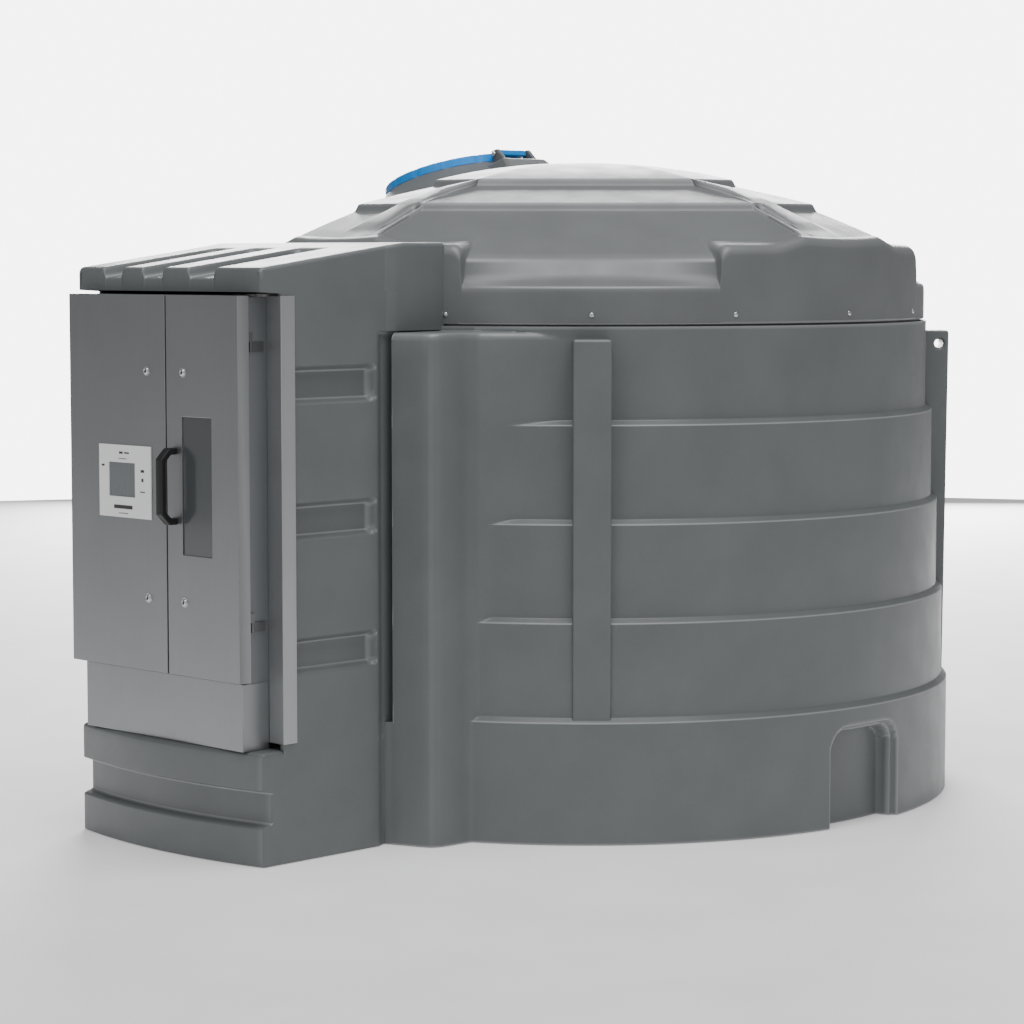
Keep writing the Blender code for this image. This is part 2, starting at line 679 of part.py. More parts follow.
def housing_roof():
    """Sloping roof with its front face and three grooves that run back from the front."""
    edge = HOUSING_X - HOUSING_WALL - 2 * SEAT
    rear_edge = HOUSING_REAR_X - HOUSING_WALL - 2 * SEAT
    flank = 0.015
    stations = [(-edge, 0)]
    for left, right in ROOF_GROOVES:
        stations += [(left, 0), (left + flank, 1), (right - flank, 1), (right, 0)]
    stations.append((edge, 0))
    grid = []
    for x, groove in stations:
        drop = groove * ROOF_GROOVE_DEPTH
        narrow = math.copysign(min(abs(x), rear_edge), x)
        rear = -math.sqrt((SKIRT_RADIUS + 0.004) ** 2 - narrow**2)
        grid.append([
            (x, HOUSING_FRONT, ROOF_FRONT_LOW), (x, HOUSING_FRONT, ROOF_FRONT_TOP - drop - 0.006),
            (x, HOUSING_FRONT + 0.006, ROOF_FRONT_TOP - drop),
            (x, ROOF_GROOVE_END - 0.05, roof_height(ROOF_GROOVE_END - 0.05) - drop),
            (narrow, ROOF_GROOVE_END + 0.015, roof_height(ROOF_GROOVE_END + 0.015)),
            (narrow, ROOF_BEND_Y, ROOF_BACK_TOP), (narrow, rear, ROOF_BACK_TOP),
        ])
    return sheet("housing_roof", np.array(grid), COVER_WALL, BODY_PLASTIC, (0, -0.3, 1))


def plinth():
    """Bowed front of the plinth with its long groove, and the shelf that the steel stands on."""
    edge = HOUSING_X - HOUSING_WALL - 2 * SEAT
    low, high = PLINTH_GROOVE
    grid = []
    for x in np.linspace(-edge, edge, 13):
        front = HOUSING_FRONT - HOUSING_BOW * (1 - (x / HOUSING_X) ** 2)
        groove = front + PLINTH_GROOVE_DEPTH
        grid.append([
            (x, front, 0.0), (x, front, low), (x, groove, low + 0.018), (x, groove, high - 0.018),
            (x, front, high), (x, front, PLINTH_TOP - 0.010), (x, front + 0.010, PLINTH_TOP),
            (x, SHELF_BACK, PLINTH_TOP),
        ])
    return sheet("plinth", np.array(grid), COVER_WALL, BODY_PLASTIC, (0, -1, 0.5))


# Cabinet enclosure

def enclosure():
    inner = ENCLOSURE_X - SHEET
    floor = PANEL_TOP + SEAT
    ceiling = FLANGE_HEIGHTS[1] - 2 * SHEET
    for name, side in (("right", 1), ("left", -1)):
        across = sorted((side * inner, side * ENCLOSURE_X))
        box("enclosure_side_" + name, (across[0], ENCLOSURE_FRONT, floor + SHEET + SEAT),
            (across[1], ENCLOSURE_BACK, ceiling - SEAT), INNER_STEEL)
    box("enclosure_floor", (-ENCLOSURE_X, ENCLOSURE_FRONT, floor),
        (ENCLOSURE_X, ENCLOSURE_BACK, floor + SHEET), INNER_STEEL)
    box("enclosure_top", (-ENCLOSURE_X, ENCLOSURE_FRONT, ceiling),
        (ENCLOSURE_X, ENCLOSURE_BACK, ceiling + SHEET), INNER_STEEL)
    box("enclosure_back", (-ENCLOSURE_X, ENCLOSURE_BACK + SEAT, floor),
        (ENCLOSURE_X, ENCLOSURE_BACK + SEAT + SHEET, ceiling + SHEET), INNER_STEEL)


def lower_panel():
    """Steel front below the doors, folded back at both sides."""
    back = FLANGE_PLANE
    outer, inner = ENCLOSURE_X, ENCLOSURE_X - FLANGE_THICK
    front = PANEL_FRONT
    points = [(-outer, front), (outer, front), (outer, back), (inner, back),
              (inner, front + FLANGE_THICK), (-inner, front + FLANGE_THICK), (-inner, back),
              (-outer, back)]
    low = PLINTH_TOP + SEAT
    place = Matrix.Translation((0, 0, (low + PANEL_TOP) / 2))
    return outline("lower_panel", points, PANEL_TOP - low, place, STEEL)


def flange(name, side):
    """Frame strip beside the doors, folded back over the housing's side wall."""
    inner, outer, thick = ENCLOSURE_X + SEAT, FLANGE_OUT, FLANGE_THICK
    points = [(inner, FLANGE_PLANE), (outer, FLANGE_PLANE), (outer, FLANGE_BACK),
              (HOUSING_X + SEAT, FLANGE_BACK), (HOUSING_X + SEAT, FLANGE_PLANE + thick),
              (inner, FLANGE_PLANE + thick)]
    points = [(side * x, y) for x, y in points]
    low, high = FLANGE_HEIGHTS
    place = Matrix.Translation((0, 0, (low + high) / 2))
    return outline(name, points, high - low, place, STEEL)


# Doors

def door(name, low_x, high_x, hinge_x, window=False):
    """Folded door leaf, open at the back, with its origin on its hinge axis."""
    axis = Vector((hinge_x, HINGE_AXIS[1], 0))
    low, high = DOOR_HEIGHTS
    back = DOOR_FRONT + DOOR_DEPTH
    leaf = box(name, (low_x, DOOR_FRONT, low), (high_x, back, high), STEEL)
    pocket = box(name + "_pocket", (low_x + SHEET, DOOR_FRONT + SHEET, low + SHEET),
                 (high_x - SHEET, back + 0.02, high - SHEET), STEEL, cutter=True)
    cutters = [pocket]
    if window:
        cutters.append(box(name + "_window", (WINDOW_X[0], DOOR_FRONT - 0.02, WINDOW_Z[0]),
                           (WINDOW_X[1], DOOR_FRONT + 0.02, WINDOW_Z[1]), STEEL, cutter=True))
    for obj in (leaf, *cutters):
        obj.data.transform(Matrix.Translation(-axis))
        obj.location = axis
    for cutter in cutters:
        combine(leaf, cutter, "DIFFERENCE")
    return leaf


def door_fittings():
    inside = DOOR_FRONT + SHEET + SEAT
    box("window_pane", (WINDOW_X[0] - PANE_LAP, inside, WINDOW_Z[0] - PANE_LAP),
        (WINDOW_X[1] + PANE_LAP, inside + 0.004, WINDOW_Z[1] + PANE_LAP), GLASS)
    outside = DOOR_FRONT - SEAT
    face = box("display_panel", (DISPLAY_X[0], outside - DISPLAY_THICK, DISPLAY_Z[0]),
               (DISPLAY_X[1], outside, DISPLAY_Z[1]), FACEPLATE)
    hole = box("display_hole", (SCREEN_X[0], outside - 0.02, SCREEN_Z[0]),
               (SCREEN_X[1], outside + 0.02, SCREEN_Z[1]), FACEPLATE, cutter=True)
    combine(face, hole, "DIFFERENCE")
    box("display_screen", (SCREEN_X[0] + SEAT, outside - 0.0015, SCREEN_Z[0] + SEAT),
        (SCREEN_X[1] - SEAT, outside, SCREEN_Z[1] - SEAT), SCREEN_GLASS)
    low, high = HANDLE_Z
    reach, bar, bend = HANDLE_REACH, 0.017, 0.028
    out = [(0, low), (reach - bend, low), (reach, low + bend), (reach, high - bend),
           (reach - bend, high), (0, high)]
    back = [(0, high - bar), (reach - bend - 0.007, high - bar), (reach - bar, high - bend - 0.007),
            (reach - bar, low + bend + 0.007), (reach - bend - 0.007, low + bar), (0, low + bar)]
    place = plane((0, -1, 0), (0, 0, 1), (sum(HANDLE_X) / 2, outside, 0))
    outline("door_handle", out + back, HANDLE_X[1] - HANDLE_X[0], place, HANDLE_PLASTIC)


def hinge(door_name, level, side):
    """Lift-off hinge: a fixed half with the pin, and the door's half that sits on it."""
    height = HINGE_HEIGHTS[level]
    x, y = side * HINGE_AXIS[0], HINGE_AXIS[1]
    label = f"{door_name}_{level}"
    split = height + BARREL_LENGTH
    top = split + BARREL_LENGTH
    fixed = rod("hinge_" + label, (x, y, height), (x, y, split), BARREL_RADIUS, HINGE_STEEL,
                sides=16)
    pin = rod(label + "_pin", (x, y, height + 0.005), (x, y, top - 0.004), PIN_RADIUS,
              HINGE_STEEL, sides=16, cutter=True)
    plate = sorted((side * (ENCLOSURE_X + SEAT), side * (ENCLOSURE_X + 0.0042)))
    arm = box(label + "_arm", (plate[0], y - 0.003, height), (plate[1], y + 0.052, split),
              HINGE_STEEL, cutter=True)
    reach = sorted((side * (ENCLOSURE_X + 0.002), x))
    bridge = box(label + "_bridge", (reach[0], y - 0.002, height + 0.001),
                 (reach[1], y + 0.003, split - 0.001), HINGE_STEEL, cutter=True)
    for other in (pin, arm, bridge):
        combine(fixed, other, "UNION")
    moving = rod("knuckle_" + label, (x, y, split + SEAT), (x, y, top), BARREL_RADIUS,
                 HINGE_STEEL, sides=16)
    inside = DOOR_EDGE - SHEET - SEAT
    leaf = sorted((side * (inside - 0.003), side * inside))
    strap = box(label + "_strap", (leaf[0], DOOR_FRONT + 0.008, split + SEAT),
                (leaf[1], y + 0.002, top), HINGE_STEEL, cutter=True)
    bore = rod(label + "_bore", (x, y, split - 0.01), (x, y, top + 0.01),
               PIN_RADIUS + PIN_CLEARANCE, HINGE_STEEL, sides=16, cutter=True)
    combine(moving, strap, "UNION")
    combine(moving, bore, "DIFFERENCE")


def main():
    tank_floor()
    side_wall("wall_right", 90)
    back_wall("wall_back", 180)
    side_wall("wall_left", 270)
    front_wall("wall_front_right", 1)
    front_wall("wall_front_left", -1)
    for place, angle in RIB_ANGLES.items():
        rib("rib_" + place, angle)
    bay()
    rim_ring()
    top_cover()
    hatch()
    housing_side("housing_side_right", 1)
    housing_side("housing_side_left", -1)
    housing_roof()
    plinth()
    enclosure()
    lower_panel()
    flange("flange_right", 1)
    flange("flange_left", -1)
    door("left_door", -DOOR_EDGE, DOOR_SPLIT - DOOR_GAP / 2, -HINGE_AXIS[0])
    door("right_door", DOOR_SPLIT + DOOR_GAP / 2, DOOR_EDGE, HINGE_AXIS[0], window=True)
    door_fittings()
    for level in HINGE_HEIGHTS:
        hinge("right", level, 1)
        hinge("left", level, -1)


main()
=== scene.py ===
"""Looks of the vertical storage tank: skins, fittings, materials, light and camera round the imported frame."""

import math

import bmesh
import bpy
import numpy as np
from mathutils import Matrix, Vector


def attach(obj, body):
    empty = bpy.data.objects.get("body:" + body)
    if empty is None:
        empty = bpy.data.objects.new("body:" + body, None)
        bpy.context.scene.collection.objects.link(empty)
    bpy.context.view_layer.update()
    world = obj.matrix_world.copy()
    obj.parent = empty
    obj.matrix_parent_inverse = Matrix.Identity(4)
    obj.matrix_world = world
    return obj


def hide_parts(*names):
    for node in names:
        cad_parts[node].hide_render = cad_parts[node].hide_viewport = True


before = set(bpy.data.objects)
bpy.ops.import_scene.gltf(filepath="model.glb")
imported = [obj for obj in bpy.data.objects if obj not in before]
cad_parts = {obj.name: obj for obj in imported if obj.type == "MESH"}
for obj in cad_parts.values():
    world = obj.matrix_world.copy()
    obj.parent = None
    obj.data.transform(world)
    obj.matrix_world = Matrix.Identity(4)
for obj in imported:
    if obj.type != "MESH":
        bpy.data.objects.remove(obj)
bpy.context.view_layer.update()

# Sizes of the tank, in metres, as the frame has them
TIER_RADII = (1.115, 1.098, 1.080, 1.062, 1.042)
LEDGE_FOOT = (0.333, 0.602, 0.869, 1.137)
LEDGE_RISE = 0.013
TANK_RIM = 1.403
WALL = 0.012
BOX_PLAN = (
    (0.670, -0.798), (0.588, -0.885), (0.550, -0.929), (0.529, -0.962), (0.521, -1.000),
    (0.518, -1.060), (0.514, -1.092), (0.503, -1.113), (0.486, -1.123), (0.440, -1.141),
    (0.397, -1.158),
)
BOX_END = (0.3728, -1.167)
SHOULDER_LOW = 1.366
SHOULDER_HIGH = 1.388
SHOULDER_IN = 0.020
ARCH_HALF = 0.150
ARCH_TOP = 0.280
ARCH_CORNER = 0.070
ARCH_DEPTH = 0.058
RIB_HALF = 0.0520
RIB_FACE = 1.1155
RIB_FOOT = 0.300
RIB_TOP = 1.370
EYE_RADIUS = 0.0135
EYE_HEIGHT = 1.330
EYE_INSET = 0.030

# Cover
STRIP_HALF = 9.8
STRIP_LEAN = 0.8292
STEP_1 = (0.435, 0.445)
STEP_2 = (0.655, 0.665)
FOLD_REACH = 0.940
FOLD_DROP = 0.004
BLOCK_HALF = 25.0
BLOCK_BLEND = 0.2
BLOCK_CORNER = 0.035
POCKET_DEPTH = 0.012
SHELF_START = 0.890
SHELF_HEIGHT = 1.637
SHELF_END = 1.012
SHELF_DROP = 0.012
SKIRT_RADIUS = 1.035
SKIRT_TOP = 1.509
COVER_FOOT = 1.408

# Hatch, in a frame that dips outwards
HATCH_FOOT = Vector((-0.5335, 0.0, 1.8072))
HATCH_TILT = 16.5
NECK_BORE = 0.180
NECK_TOP = 0.022
LID_RADIUS = 0.230
LID_THICK = 0.022
LID_HINGE_OUT = 0.253
LID_HINGE_UP = 0.0085
LUG_HALF = 0.058
BRACKET_THICK = 0.014

# Cabinet housing
HOUSING_X = 0.385
HOUSING_REAR_X = 0.3725
HOUSING_FRONT = -1.605
HOUSING_REAR = -0.956
HOUSING_BOW = 0.045
HOUSING_BEND = (-1.199, -1.173)
PLINTH_TOP = 0.300
PLINTH_GROOVE = (0.100, 0.203)
PLINTH_GROOVE_DEPTH = 0.030
SIDE_FRONT = -1.5375
SIDE_RECESSES = ((0.494, 0.593), (0.847, 0.950), (1.204, 1.308))
RECESS_Y = (-1.505, -1.204)
RECESS_DEPTH = 0.024
ROOF_FRONT_LOW = 1.500
ROOF_FRONT_TOP = 1.562
ROOF_BACK_TOP = 1.630
ROOF_BEND_Y = -1.100
ROOF_GROOVES = ((-0.280, -0.185), (-0.111, -0.010), (0.082, 0.205))
ROOF_GROOVE_DEPTH = 0.027
ROOF_GROOVE_END = -1.200
EDGE_ROUND = 0.012


# Shader groups

def group_with(name, inputs, outputs):
    tree = bpy.data.node_groups.new(name, "ShaderNodeTree")
    for label, kind, value in inputs:
        socket = tree.interface.new_socket(label, in_out="INPUT", socket_type=kind)
        socket.default_value = value
    for label, kind in outputs:
        tree.interface.new_socket(label, in_out="OUTPUT", socket_type=kind)
    return tree, tree.nodes.new("NodeGroupInput"), tree.nodes.new("NodeGroupOutput")


def connect(tree, start, start_socket, end, end_socket):
    tree.links.new(start.outputs[start_socket], end.inputs[end_socket])


def noise(tree, place, scale, detail=3.0, stretch=(1.0, 1.0, 1.0)):
    """A noise texture on a stretched copy of the place that comes from a coordinates node."""
    mapping = tree.nodes.new("ShaderNodeMapping")
    mapping.inputs["Scale"].default_value = stretch
    connect(tree, place, "Object", mapping, "Vector")
    texture = tree.nodes.new("ShaderNodeTexNoise")
    texture.inputs["Scale"].default_value = scale
    texture.inputs["Detail"].default_value = detail
    connect(tree, mapping, "Vector", texture, "Vector")
    return texture


def mix_colour(tree, mode, share):
    """A colour Mix node, with its sockets found by kind because each name is there three times."""
    mix = tree.nodes.new("ShaderNodeMix")
    mix.data_type = "RGBA"
    mix.blend_type = mode
    mix.inputs[0].default_value = share
    return mix


def spread(tree, source, low, high, low_to, high_to):
    """A Map Range node that spreads a noise value."""
    node = tree.nodes.new("ShaderNodeMapRange")
    node.inputs["From Min"].default_value = low
    node.inputs["From Max"].default_value = high
    node.inputs["To Min"].default_value = low_to
    node.inputs["To Max"].default_value = high_to
    connect(tree, source, "Fac", node, "Value")
    return node


def moulded_grain():
    """Rotomoulded plastic: cloudy tone, fine speckle, dull patches, a fine orange peel, and a painted highlight
    on sharp convex edges.
    """
    tree, given, result = group_with(
        "moulded_grain",
        [("Colour", "NodeSocketColor", (0.1, 0.1, 0.1, 1.0)), ("Roughness", "NodeSocketFloat", 0.5),
         ("Edge light", "NodeSocketFloat", 0.5)],
        [("Colour", "NodeSocketColor"), ("Roughness", "NodeSocketFloat"),
         ("Height", "NodeSocketFloat")],
    )
    place = tree.nodes.new("ShaderNodeTexCoord")
    cloud = noise(tree, place, 5.0, 5.0)
    speckle = noise(tree, place, 420.0, 2.0)
    peel = noise(tree, place, 170.0, 4.0)
    tone = spread(tree, cloud, 0.3, 0.7, 0.93, 1.07)
    fleck = spread(tree, speckle, 0.3, 0.7, 0.95, 1.05)
    both = tree.nodes.new("ShaderNodeMath")
    both.operation = "MULTIPLY"
    connect(tree, tone, "Result", both, 0)
    connect(tree, fleck, "Result", both, 1)
    tint = tree.nodes.new("ShaderNodeVectorMath")
    tint.operation = "SCALE"
    connect(tree, given, "Colour", tint, 0)
    tree.links.new(both.outputs[0], tint.inputs["Scale"])
    # Painted highlight: points stored as sharp convex edges are mixed towards pale grey, standing in for light
    # caught on the rounded edges.
    edge = tree.nodes.new("ShaderNodeAttribute")
    edge.attribute_name = "painted_edge_highlight"
    highlight_share = tree.nodes.new("ShaderNodeMath")
    highlight_share.operation = "MULTIPLY"
    connect(tree, edge, "Fac", highlight_share, 0)
    connect(tree, given, "Edge light", highlight_share, 1)
    edge_highlight = mix_colour(tree, "MIX", 0.0)
    tree.links.new(highlight_share.outputs[0], edge_highlight.inputs[0])
    tree.links.new(tint.outputs[0], edge_highlight.inputs[6])
    edge_highlight.inputs[7].default_value = (0.42, 0.43, 0.44, 1.0)
    tree.links.new(edge_highlight.outputs[2], result.inputs["Colour"])
    patch = spread(tree, noise(tree, place, 11.0, 4.0), 0.3, 0.7, -0.05, 0.05)
    dull = tree.nodes.new("ShaderNodeMath")
    dull.operation = "ADD"
    connect(tree, given, "Roughness", dull, 0)
    connect(tree, patch, "Result", dull, 1)
    connect(tree, dull, 0, result, "Roughness")
    connect(tree, peel, "Fac", result, "Height")
    return tree


def brushed_grain():
    """Rolled steel sheet: long upright brush lines in tone, gloss and height."""
    tree, given, result = group_with(
        "brushed_grain",
        [("Colour", "NodeSocketColor", (0.4, 0.4, 0.4, 1.0)), ("Roughness", "NodeSocketFloat", 0.35)],
        [("Colour", "NodeSocketColor"), ("Roughness", "NodeSocketFloat"),
         ("Height", "NodeSocketFloat")],
    )
    place = tree.nodes.new("ShaderNodeTexCoord")
    lines = noise(tree, place, 260.0, 3.0, (1.0, 1.0, 0.012))
    fine = noise(tree, place, 900.0, 2.0, (1.0, 1.0, 0.02))
    cloud = noise(tree, place, 3.0, 3.0)
    tone = spread(tree, lines, 0.3, 0.7, 0.985, 1.015)
    wash = spread(tree, cloud, 0.3, 0.7, 0.96, 1.04)
    both = tree.nodes.new("ShaderNodeMath")
    both.operation = "MULTIPLY"
    connect(tree, tone, "Result", both, 0)
    connect(tree, wash, "Result", both, 1)
    tint = tree.nodes.new("ShaderNodeVectorMath")
    tint.operation = "SCALE"
    connect(tree, given, "Colour", tint, 0)
    tree.links.new(both.outputs[0], tint.inputs["Scale"])
    connect(tree, tint, 0, result, "Colour")
    streak = spread(tree, fine, 0.3, 0.7, -0.03, 0.03)
    dull = tree.nodes.new("ShaderNodeMath")
    dull.operation = "ADD"
    connect(tree, given, "Roughness", dull, 0)
    connect(tree, streak, "Result", dull, 1)
    connect(tree, dull, 0, result, "Roughness")
    connect(tree, lines, "Fac", result, "Height")
    return tree


MOULDED = moulded_grain()
BRUSHED = brushed_grain()


def material_from(name, grain, colour, roughness, bump, metallic=0.0, coat=0.0):
    material = bpy.data.materials.new(name)
    material.use_nodes = True
    tree = material.node_tree
    shader = tree.nodes["Principled BSDF"]
    shader.inputs["Metallic"].default_value = metallic
    shader.inputs["Coat Weight"].default_value = coat
    shader.inputs["Coat Roughness"].default_value = 0.2
    surface = tree.nodes.new("ShaderNodeGroup")
    surface.node_tree = grain
    surface.inputs["Colour"].default_value = (*colour, 1.0)
    surface.inputs["Roughness"].default_value = roughness
    connect(tree, surface, "Colour", shader, "Base Color")
    connect(tree, surface, "Roughness", shader, "Roughness")
    relief = tree.nodes.new("ShaderNodeBump")
    relief.inputs["Strength"].default_value = bump
    relief.inputs["Distance"].default_value = 0.001
    connect(tree, surface, "Height", relief, "Height")
    connect(tree, relief, "Normal", shader, "Normal")
    return material


TANK_PLASTIC = material_from("tank_plastic", MOULDED, (0.120, 0.130, 0.134), 0.44, 0.22, coat=0.10)
# Painted light: the cover's plastic is a slightly lighter copy of the tank's, standing in for the overhead
# light on the cover's top.
LIT_COVER_PLASTIC = material_from("cover_plastic", MOULDED, (0.128, 0.136, 0.139), 0.41, 0.15)
LID_PLASTIC = material_from("lid_plastic", MOULDED, (0.0, 0.260, 0.780), 0.30, 0.10, coat=0.3)
STEEL = material_from("door_steel", BRUSHED, (0.275, 0.285, 0.293), 0.36, 0.02, metallic=0.85)
# Painted light: the frame strips get a lighter copy of the door steel, standing in for light they lose in the
# doors' shadow.
LIT_STRIP_STEEL = material_from("strip_steel_painted_light", BRUSHED, (0.400, 0.412, 0.424), 0.40, 0.06, metallic=0.8)
INNER_STEEL = material_from("inner_steel", BRUSHED, (0.200, 0.210, 0.220), 0.45, 0.08, metallic=0.7)
HINGE_STEEL = material_from("hinge_steel", BRUSHED, (0.150, 0.155, 0.160), 0.32, 0.05, metallic=0.9)
BOLT_STEEL = material_from("bolt_steel", BRUSHED, (0.560, 0.570, 0.580), 0.28, 0.05, metallic=0.95)
HANDLE_PLASTIC = material_from("handle_plastic", MOULDED, (0.006, 0.006, 0.007), 0.50, 0.12)
FACEPLATE = material_from("faceplate", BRUSHED, (0.850, 0.855, 0.855), 0.40, 0.02)
SCREEN = material_from("screen_glass", BRUSHED, (0.145, 0.160, 0.168), 0.30, 0.01, coat=0.3)
# Near black for the printed marks, and also painted shade on the floor of the door bolts' sockets.
MARKS_AND_SOCKET_SHADE = material_from("printed_marks_and_socket_shade", BRUSHED, (0.030, 0.030, 0.032), 0.5, 0.01)
# Painted shade: the window pane is opaque, and its dark grey stands in for the shaded inside of the cabinet
# seen through clear glass. Its reflections come from the coat.
GLASS = material_from("door_glass_painted_shade", BRUSHED, (0.060, 0.066, 0.070), 0.06, 0.01, coat=1.0)
FLOOR = material_from("studio_floor", BRUSHED, (0.900, 0.900, 0.900), 0.8, 0.0)
FLOOR_SHADER = FLOOR.node_tree.nodes["Principled BSDF"]
FLOOR_SHADER.inputs["Emission Color"].default_value = (1.0, 1.0, 1.0, 1.0)
FLOOR_SHADER.inputs["Emission Strength"].default_value = 0.22


# Makers of pieces

def finish_piece(name, mesh, material, body, nodes=(), sharp=35.0):
    """Puts a finished mesh in the scene, shaded smooth but for sharp edges, on its body."""
    mesh.materials.clear()
    mesh.materials.append(material)
    if sharp:
        mesh.shade_smooth()
        mesh.set_sharp_from_angle(angle=math.radians(sharp))
    if sharp and material in (TANK_PLASTIC, LIT_COVER_PLASTIC):
        mark_edges(mesh)
    obj = bpy.data.objects.new(name, mesh)
    bpy.context.scene.collection.objects.link(obj)
    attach(obj, body)
    if nodes:
        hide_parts(*nodes)
    return obj


def mark_edges(mesh):
    """Stores how sharply each point stands out, for the painted highlight on moulded edges."""
    count = len(mesh.vertices)
    points = np.empty(count * 3)
    mesh.vertices.foreach_get("co", points)
    points = points.reshape(-1, 3)
    normals = np.empty(count * 3)
    mesh.vertices.foreach_get("normal", normals)
    normals = normals.reshape(-1, 3)
    ends = np.empty(len(mesh.edges) * 2, dtype=np.int32)
    mesh.edges.foreach_get("vertices", ends)
    ends = ends.reshape(-1, 2)
    curving = np.zeros(count)
    for first, second in ((0, 1), (1, 0)):
        here, there = ends[:, first], ends[:, second]
        away = points[here] - points[there]
        length = np.maximum(np.linalg.norm(away, axis=1), 0.0015)
        bend = 2 * np.einsum("ij,ij->i", normals[here], away) / length**2
        np.maximum.at(curving, here, bend)
    tone = np.clip((curving - 12.0) / 160.0, 0.0, 1.0)
    layer = mesh.attributes.new("painted_edge_highlight", "FLOAT", "POINT")
    layer.data.foreach_set("value", tone.astype(np.float32))


def grid_mesh(name, grid, outward, closed=False):
    """Mesh of a grid of points, with its faces turned to the outward point's side."""
    columns, rows = grid.shape[:2]
    points = grid.reshape(-1, 3)
    faces = []
    for i in range(columns if closed else columns - 1):
        after = (i + 1) % columns
        for j in range(rows - 1):
            faces.append((i * rows + j, after * rows + j, after * rows + j + 1, i * rows + j + 1))
    mesh = bpy.data.meshes.new(name)
    mesh.from_pydata(points.tolist(), [], faces)
    middle = len(faces) // 2
    face = mesh.polygons[middle]
    if face.normal.dot(outward(face.center)) < 0:
        mesh.flip_normals()
    return mesh


def merged(mesh, distance=0.00005):
    work = bmesh.new()
    work.from_mesh(mesh)
    bmesh.ops.remove_doubles(work, verts=work.verts, dist=distance)
    bmesh.ops.dissolve_degenerate(work, edges=work.edges, dist=0.00001)
    work.to_mesh(mesh)
    work.free()
    return mesh


def applied(obj):
    """The evaluated mesh of a working object, which is then removed."""
    graph = bpy.context.evaluated_depsgraph_get()
    mesh = bpy.data.meshes.new_from_object(obj.evaluated_get(graph))
    bpy.data.objects.remove(obj, do_unlink=True)
    return mesh


def bevelled(name, mesh, width, segments=3, angle=30.0):
    mesh.shade_smooth()
    work = bpy.data.objects.new(name + "_work", mesh)
    bpy.context.scene.collection.objects.link(work)
    edges = work.modifiers.new("edges", "BEVEL")
    edges.width = width
    edges.segments = segments
    edges.angle_limit = math.radians(angle)
    edges.use_clamp_overlap = True
    edges.harden_normals = True
    result = applied(work)
    result.name = name
    return result


def softened(node, name, material, body, width, segments=3, angle=30.0, sharp=None):
    """A CAD node's shape with its flat faces joined and its edges rounded, in place of the node."""
    work = bmesh.new()
    work.from_mesh(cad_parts[node].data)
    bmesh.ops.remove_doubles(work, verts=work.verts, dist=0.00002)
    bmesh.ops.dissolve_limit(work, angle_limit=math.radians(1.0), verts=work.verts,
                             edges=work.edges)
    mesh = bpy.data.meshes.new(name)
    work.to_mesh(mesh)
    work.free()
    mesh = bevelled(name, mesh, width, segments, angle)
    return finish_piece(name, mesh, material, body, (node,), sharp=sharp)


def ease(value):
    """Smooth step from 0 to 1."""
    held = np.clip(value, 0.0, 1.0)
    return held * held * (3.0 - 2.0 * held)


def soft_max(first, second, blend):
    return (first + second + np.sqrt((first - second) ** 2 + blend**2)) / 2


def with_stops(low, high, step, stops):
    """Even values from low to high with extra stops among them."""
    even = np.linspace(low, high, int(math.ceil((high - low) / step)) + 1)
    values = np.concatenate([even, [stop for stop in stops if low <= stop <= high]])
    values = np.unique(np.round(values, 5))
    keep = np.concatenate([[True], np.diff(values) > 0.0004])
    return values[keep]


def near(edges, reach, count):
    """Values spread closely round each edge."""
    return [edge + reach * step for edge in edges for step in np.linspace(-1, 1, count)]


def around(angle, radius, height):
    turn = np.radians(angle)
    return np.stack([radius * np.sin(turn), -radius * np.cos(turn),
                     height + 0.0 * turn], axis=-1)


# Round wall with its ledges, front box and hand recesses

def tier_radius(height):
    """Radius of the stepped wall, with its ledge edges rounded over a few millimetres."""
    total = np.zeros_like(height)
    shifts = np.linspace(-0.0018, 0.0018, 9)
    for shift in shifts:
        level = height + shift
        radius = np.full_like(height, TIER_RADII[0])
        for foot, below, above in zip(LEDGE_FOOT, TIER_RADII, TIER_RADII[1:]):
            radius -= (below - above) * np.clip((level - foot) / LEDGE_RISE, 0.0, 1.0)
        total += radius
    return total / len(shifts)


BOX_ANGLES = [math.degrees(math.atan2(x, -y)) for x, y in BOX_PLAN]
BOX_REACH = [math.hypot(x, y) for x, y in BOX_PLAN]
BOX_OUT = (46.0, 1.025)


def box_radius(angle):
    """Radius of the front box's outside at an angle from the cabinet's side, rounded a little."""
    angles = [BOX_OUT[0], *BOX_ANGLES][::-1]
    reach = [BOX_OUT[1], *BOX_REACH][::-1]
    shifts = np.linspace(-0.35, 0.35, 9)
    return sum(np.interp(angle + shift, angles, reach) for shift in shifts) / len(shifts)


def arch_depth(across, height):
    """Depth of the hand recess, from its distance inside the arch's edge."""
    corner_x = np.abs(across) - (ARCH_HALF - ARCH_CORNER)
    corner_z = height - (ARCH_TOP - ARCH_CORNER)
    outside = np.hypot(np.maximum(corner_x, 0.0), np.maximum(corner_z, 0.0))
    inside = np.minimum(np.maximum(corner_x, corner_z), 0.0)
    depth_in = ARCH_CORNER - outside - inside
    lip = 0.018 * ease((depth_in + 0.004) / 0.009)
    well = (ARCH_DEPTH - 0.018) * ease((depth_in - 0.011) / 0.010)
    return lip + well


